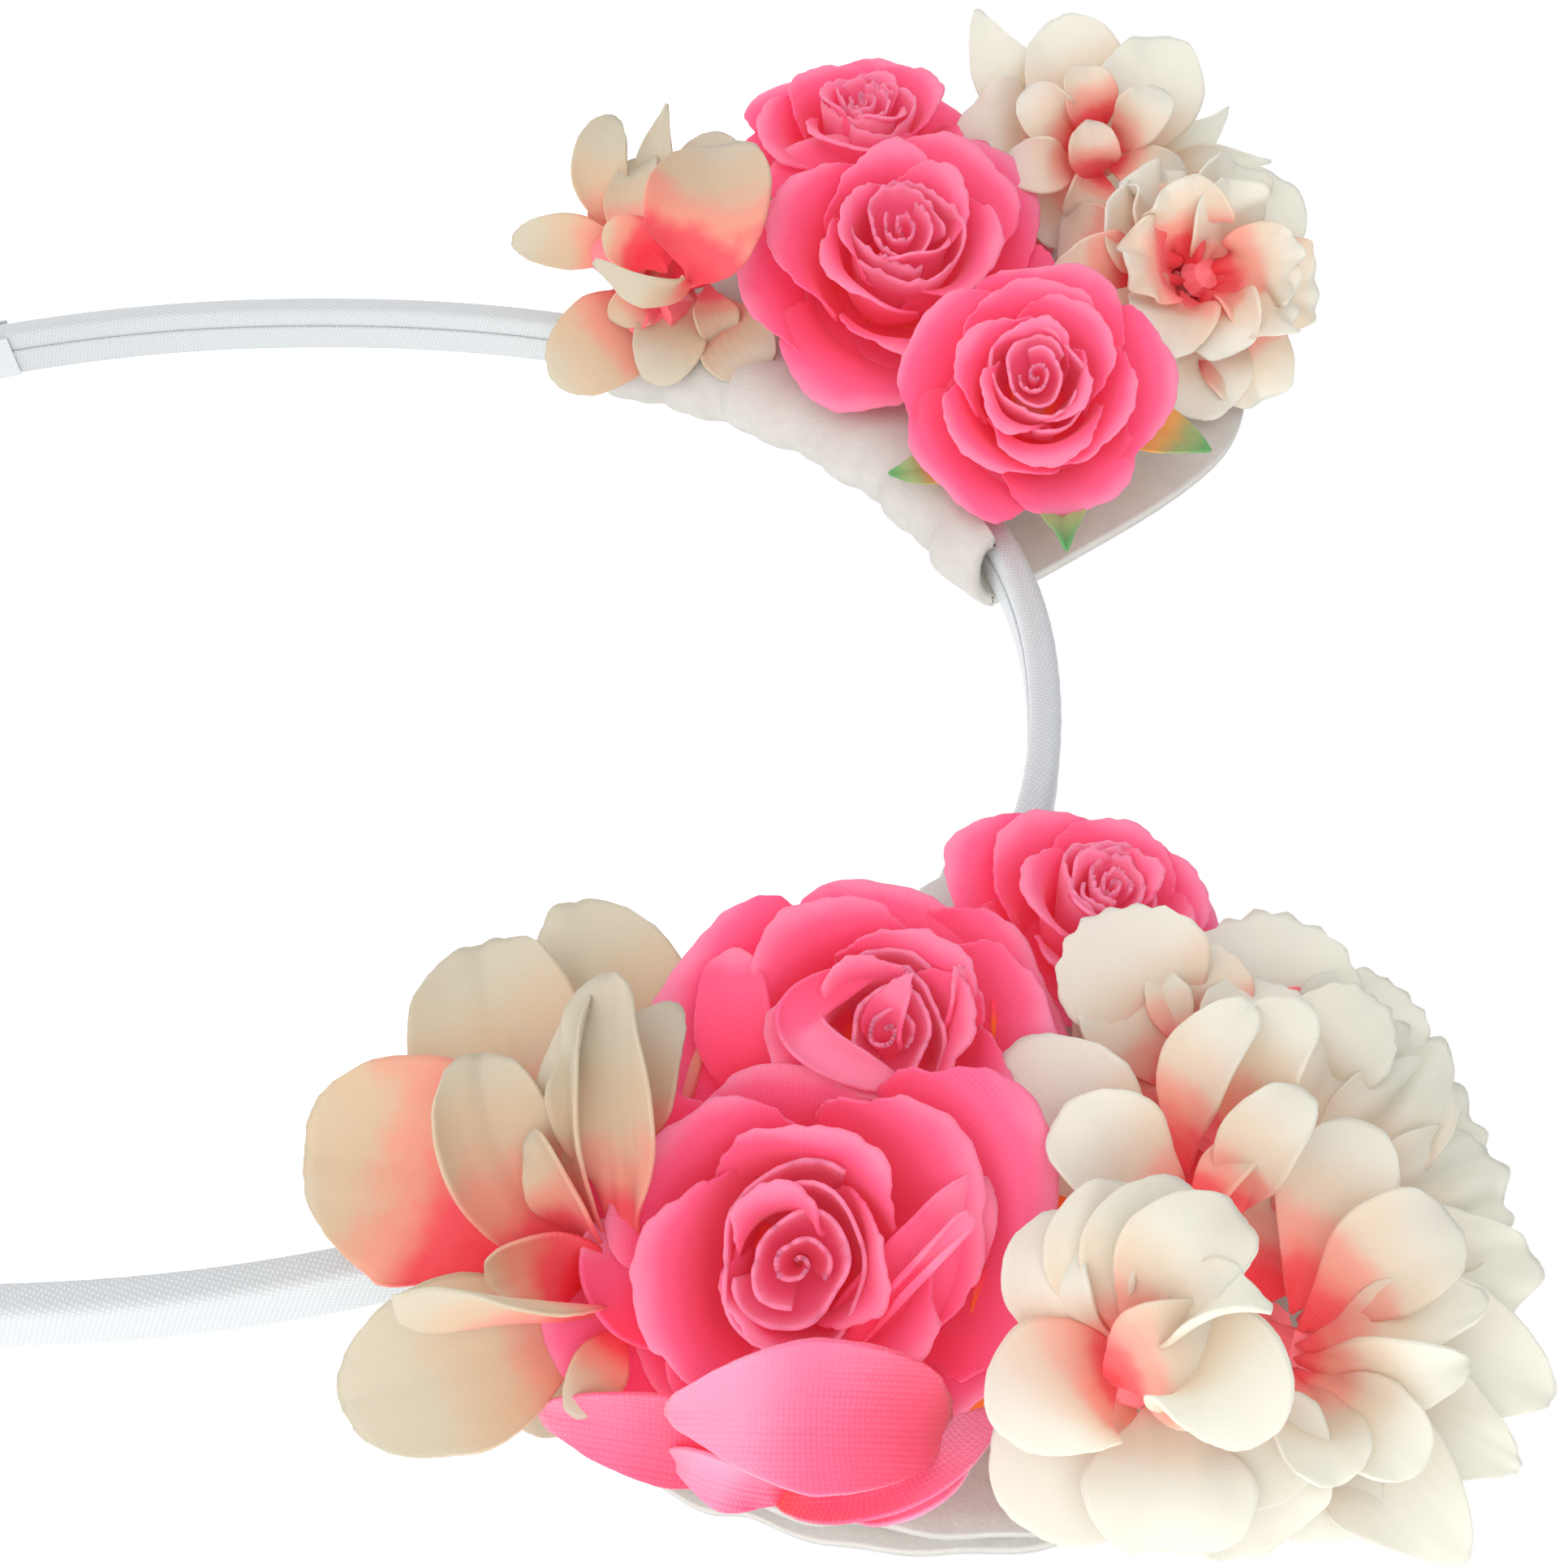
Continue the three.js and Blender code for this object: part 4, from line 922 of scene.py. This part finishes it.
        ((-62.3, -11, 56.6), (-66.4, -14.9, 61.5), (-74.7, -15.8, 64.6), 10, 0, 0.5, 0, {}),
        ((-64.2, -11, 51.5), (-67.4, -14.6, 48.7), (-75.6, -16.2, 48.6), 9, 0, 0.5, 0.15, {}),
        ((-61.6, -11, 53.2), (-64.3, -14.2, 53.3), (-72.1, -15.5, 52.8), 8, 0, 0.4, 0.3, {}),
        ((-61.8, -9, 58.4), (-63.7, -9.5, 54.6), (-66.4, -9, 50.1), 8, 0, 0.4, 0.45, {}),
    ],
    ("right_blossom_1", "inner"): [
        ((-53, -15, 57.2), (-47.1, -26.6, 60.7), (-62.1, -27.2, 62.3), 15.5, 0, 0.9, 0.15, {}),
        ((-52.3, -16, 57.8), (-41.2, -22.5, 55.6), (-45.4, -23, 48.3), 6, 55, 0.7, -0.2, {}),
        ((-57.3, -15, 52.5), (-59.9, -20.4, 50.8), (-71.6, -20.8, 51.9), 7, 20, 0.8, 0, {}),
        ((-57, -14, 54.4), (-53.4, -19.8, 52), (-53.3, -21.5, 48.2), 7, 0, 0.7, 0.35, {}),
    ],
    ("right_blossom_2", "outer"): [
        ((-66.3, -6, 55.8), (-56.3, -6.1, 47.7), (-50.8, -3.2, 40.3), 12, 0, 0.4, 0.1, {}),
        ((-64.4, -6, 59), (-54.3, -6.6, 62.1), (-51.6, -3.2, 64.9), 10, 0, 0.4, -0.1, {}),
        ((-66.3, -6, 55.8), (-55.4, -6.6, 54.7), (-50.4, -3.2, 51.8), 9, 0, 0.4, -0.1, {}),
    ],
    ("right_blossom_2", "inner"): [
        ((-64.2, -8, 55.2), (-57.4, -9.9, 51), (-55.7, -7.8, 48), 6, 20, 0.6, 0.2, {}),
        ((-63.2, -8, 58.2), (-56.6, -8.5, 59.7), (-55.8, -5, 60.4), 6, 20, 0.6, 0, {}),
    ],
    ("right_blossom_4", "outer"): [
        ((-85.9, -14, 103.3), (-84.4, -21.6, 95.4), (-94, -26.2, 91.6), 9, 0, 0.4, -0.2, {"point": 0.6}),
        ((-84, -14, 103.2), (-78.9, -19.4, 94.8), (-80.5, -20.8, 90.5), 11, 0, 0.4, -0.2, {}),
        ((-78.2, -14, 104.8), (-80.7, -22.4, 103.5), (-87.2, -27.8, 100.2), 13, 0, 0.4, 0, {}),
        ((-89.4, -13, 106.6), (-80.6, -12.8, 100.1), (-80.2, -9.5, 95.1), 11, 0, 0.4, -0.15, {}),
        ((-89.3, -13, 107.6), (-81.1, -12.1, 111.1), (-78, -8.2, 114.2), 12, 0, 0.4, -0.15, {}),
        ((-75.4, -14, 106.6), (-75.8, -22.8, 110.8), (-83.3, -27.5, 111.8), 13.5, 0, 0.4, -0.25, {}),
        ((-79.7, -13, 110), (-77.3, -16.4, 116.4), (-87.1, -15.8, 122.7), 6, 10, 0.5, -0.2, {"point": 0.8}),
        ((-76.9, -13, 109.8), (-72.5, -16.5, 117.8), (-74, -16, 126.1), 6, -10, 0.5, -0.2, {"point": 0.8}),
        ((-75.1, -13, 109.6), (-69, -15, 118.6), (-69, -13, 128.3), 6, 0, 0.5, -0.2, {"point": 0.8}),
        ((-79.9, -13, 106), (-72, -11.8, 102.4), (-68.4, -8.5, 100.1), 9, 0, 0.4, 0.05, {}),
        ((-57.5, -11, 109.4), (-62.6, -12.8, 104.4), (-66.7, -11.5, 100.9), 9, 0, 0.5, 0.15, {}),
    ],
    ("right_blossom_4", "inner"): [
        ((-78.6, -16, 105.2), (-72.5, -22.9, 100.2), (-76.8, -24.8, 96.9), 7, 10, 0.7, 0.05, {}),
        ((-78.5, -16, 105.7), (-73.7, -24.1, 104.4), (-77.4, -27.2, 103), 7, -10, 0.7, 0.25, {}),
        ((-76.6, -16, 106.6), (-69.8, -24.1, 109.3), (-73.1, -26.2, 112.2), 7, 10, 0.7, 0, {}),
        ((-74.8, -16, 106.5), (-66.6, -19.8, 110.3), (-67.5, -18.5, 115.2), 6, 0, 0.7, 0, {}),
        ((-74.9, -16, 104.5), (-67.2, -20.2, 99.1), (-70.5, -19.5, 94.5), 7, 0, 0.7, 0, {}),
        ((-72.5, -15, 105.6), (-68.3, -20.5, 104.6), (-72.1, -23, 104.4), 6.5, 0, 0.7, 0.2, {}),
        ((-74.9, -16, 105.5), (-67.8, -16.5, 104.5), (-67.4, -13, 102.8), 7, 20, 0.8, 0.1, {}),
    ],
}
FACING = {"left": TOWARDS_FRONT_LEFT, "right": (0.78, -0.62, -0.02)}
# The ruffled blossom near the right ear's corner, whose petals all stand round one throat. For each
# whorl: how many petals, how far out and how high they reach, their width and their ruffle.
RUFFLED_WHORLS = {"outer": (9, 16.0, 5.5, 12.5, 1.9), "inner": (7, 11.0, 11.5, 10.5, 2.6)}
flower = FlowerFrame((-58.0, -9.5, 114.0), 46, 14)
ruffled_petals = {"outer": [], "inner": []}
hand = np.random.default_rng(77)
for whorl, (count, reach, rise, width, ruffle) in RUFFLED_WHORLS.items():
    for n in range(count):
        around = math.radians(360.0 / count * n + hand.uniform(-12, 12))
        direction = math.cos(around) * flower.side + math.sin(around) * flower.up
        far = reach * hand.uniform(0.85, 1.1)
        foot = flower.base + direction * 1.5 + flower.axis * 3.0
        middle = flower.base + direction * far * 0.55 + flower.axis * (rise * 0.9)
        tip = flower.base + direction * far + flower.axis * (rise + hand.uniform(-2, 2))
        roll = hand.uniform(-25, 25)
        coral = hand.uniform(-0.15, 0.25)
        ruffled_petals[whorl].append((foot, middle, tip, width, roll, 0.5, coral, {"ruffle": ruffle}))


def make_whorl(blossom_name, whorl, rows, facing, seed):
    """One whorl of a blossom, from its petals' rows."""
    grids = free_petals(rows, facing, waves=(3, 4, 5), rows=26, seed=seed)
    piece, area = cloth_object(f"{blossom_name}_{whorl}_petals_cloth", grids, CLOTH_THICKNESS,
                               shaded_warm_blossom_cloth if blossom_name in SHADED_WARM_BLOSSOMS else white_blossom_cloth)
    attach(piece, "root")
    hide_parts(f"{blossom_name}_{whorl}_petals")


for number, ((blossom_name, whorl), rows) in enumerate(BLOSSOMS.items()):
    make_whorl(blossom_name, whorl, rows, FACING[blossom_name.split("_")[0]], 2000 + 50 * number)
for number, (whorl, rows) in enumerate(ruffled_petals.items()):
    make_whorl("right_blossom_3", whorl, rows, flower.axis, 3000 + 50 * number)
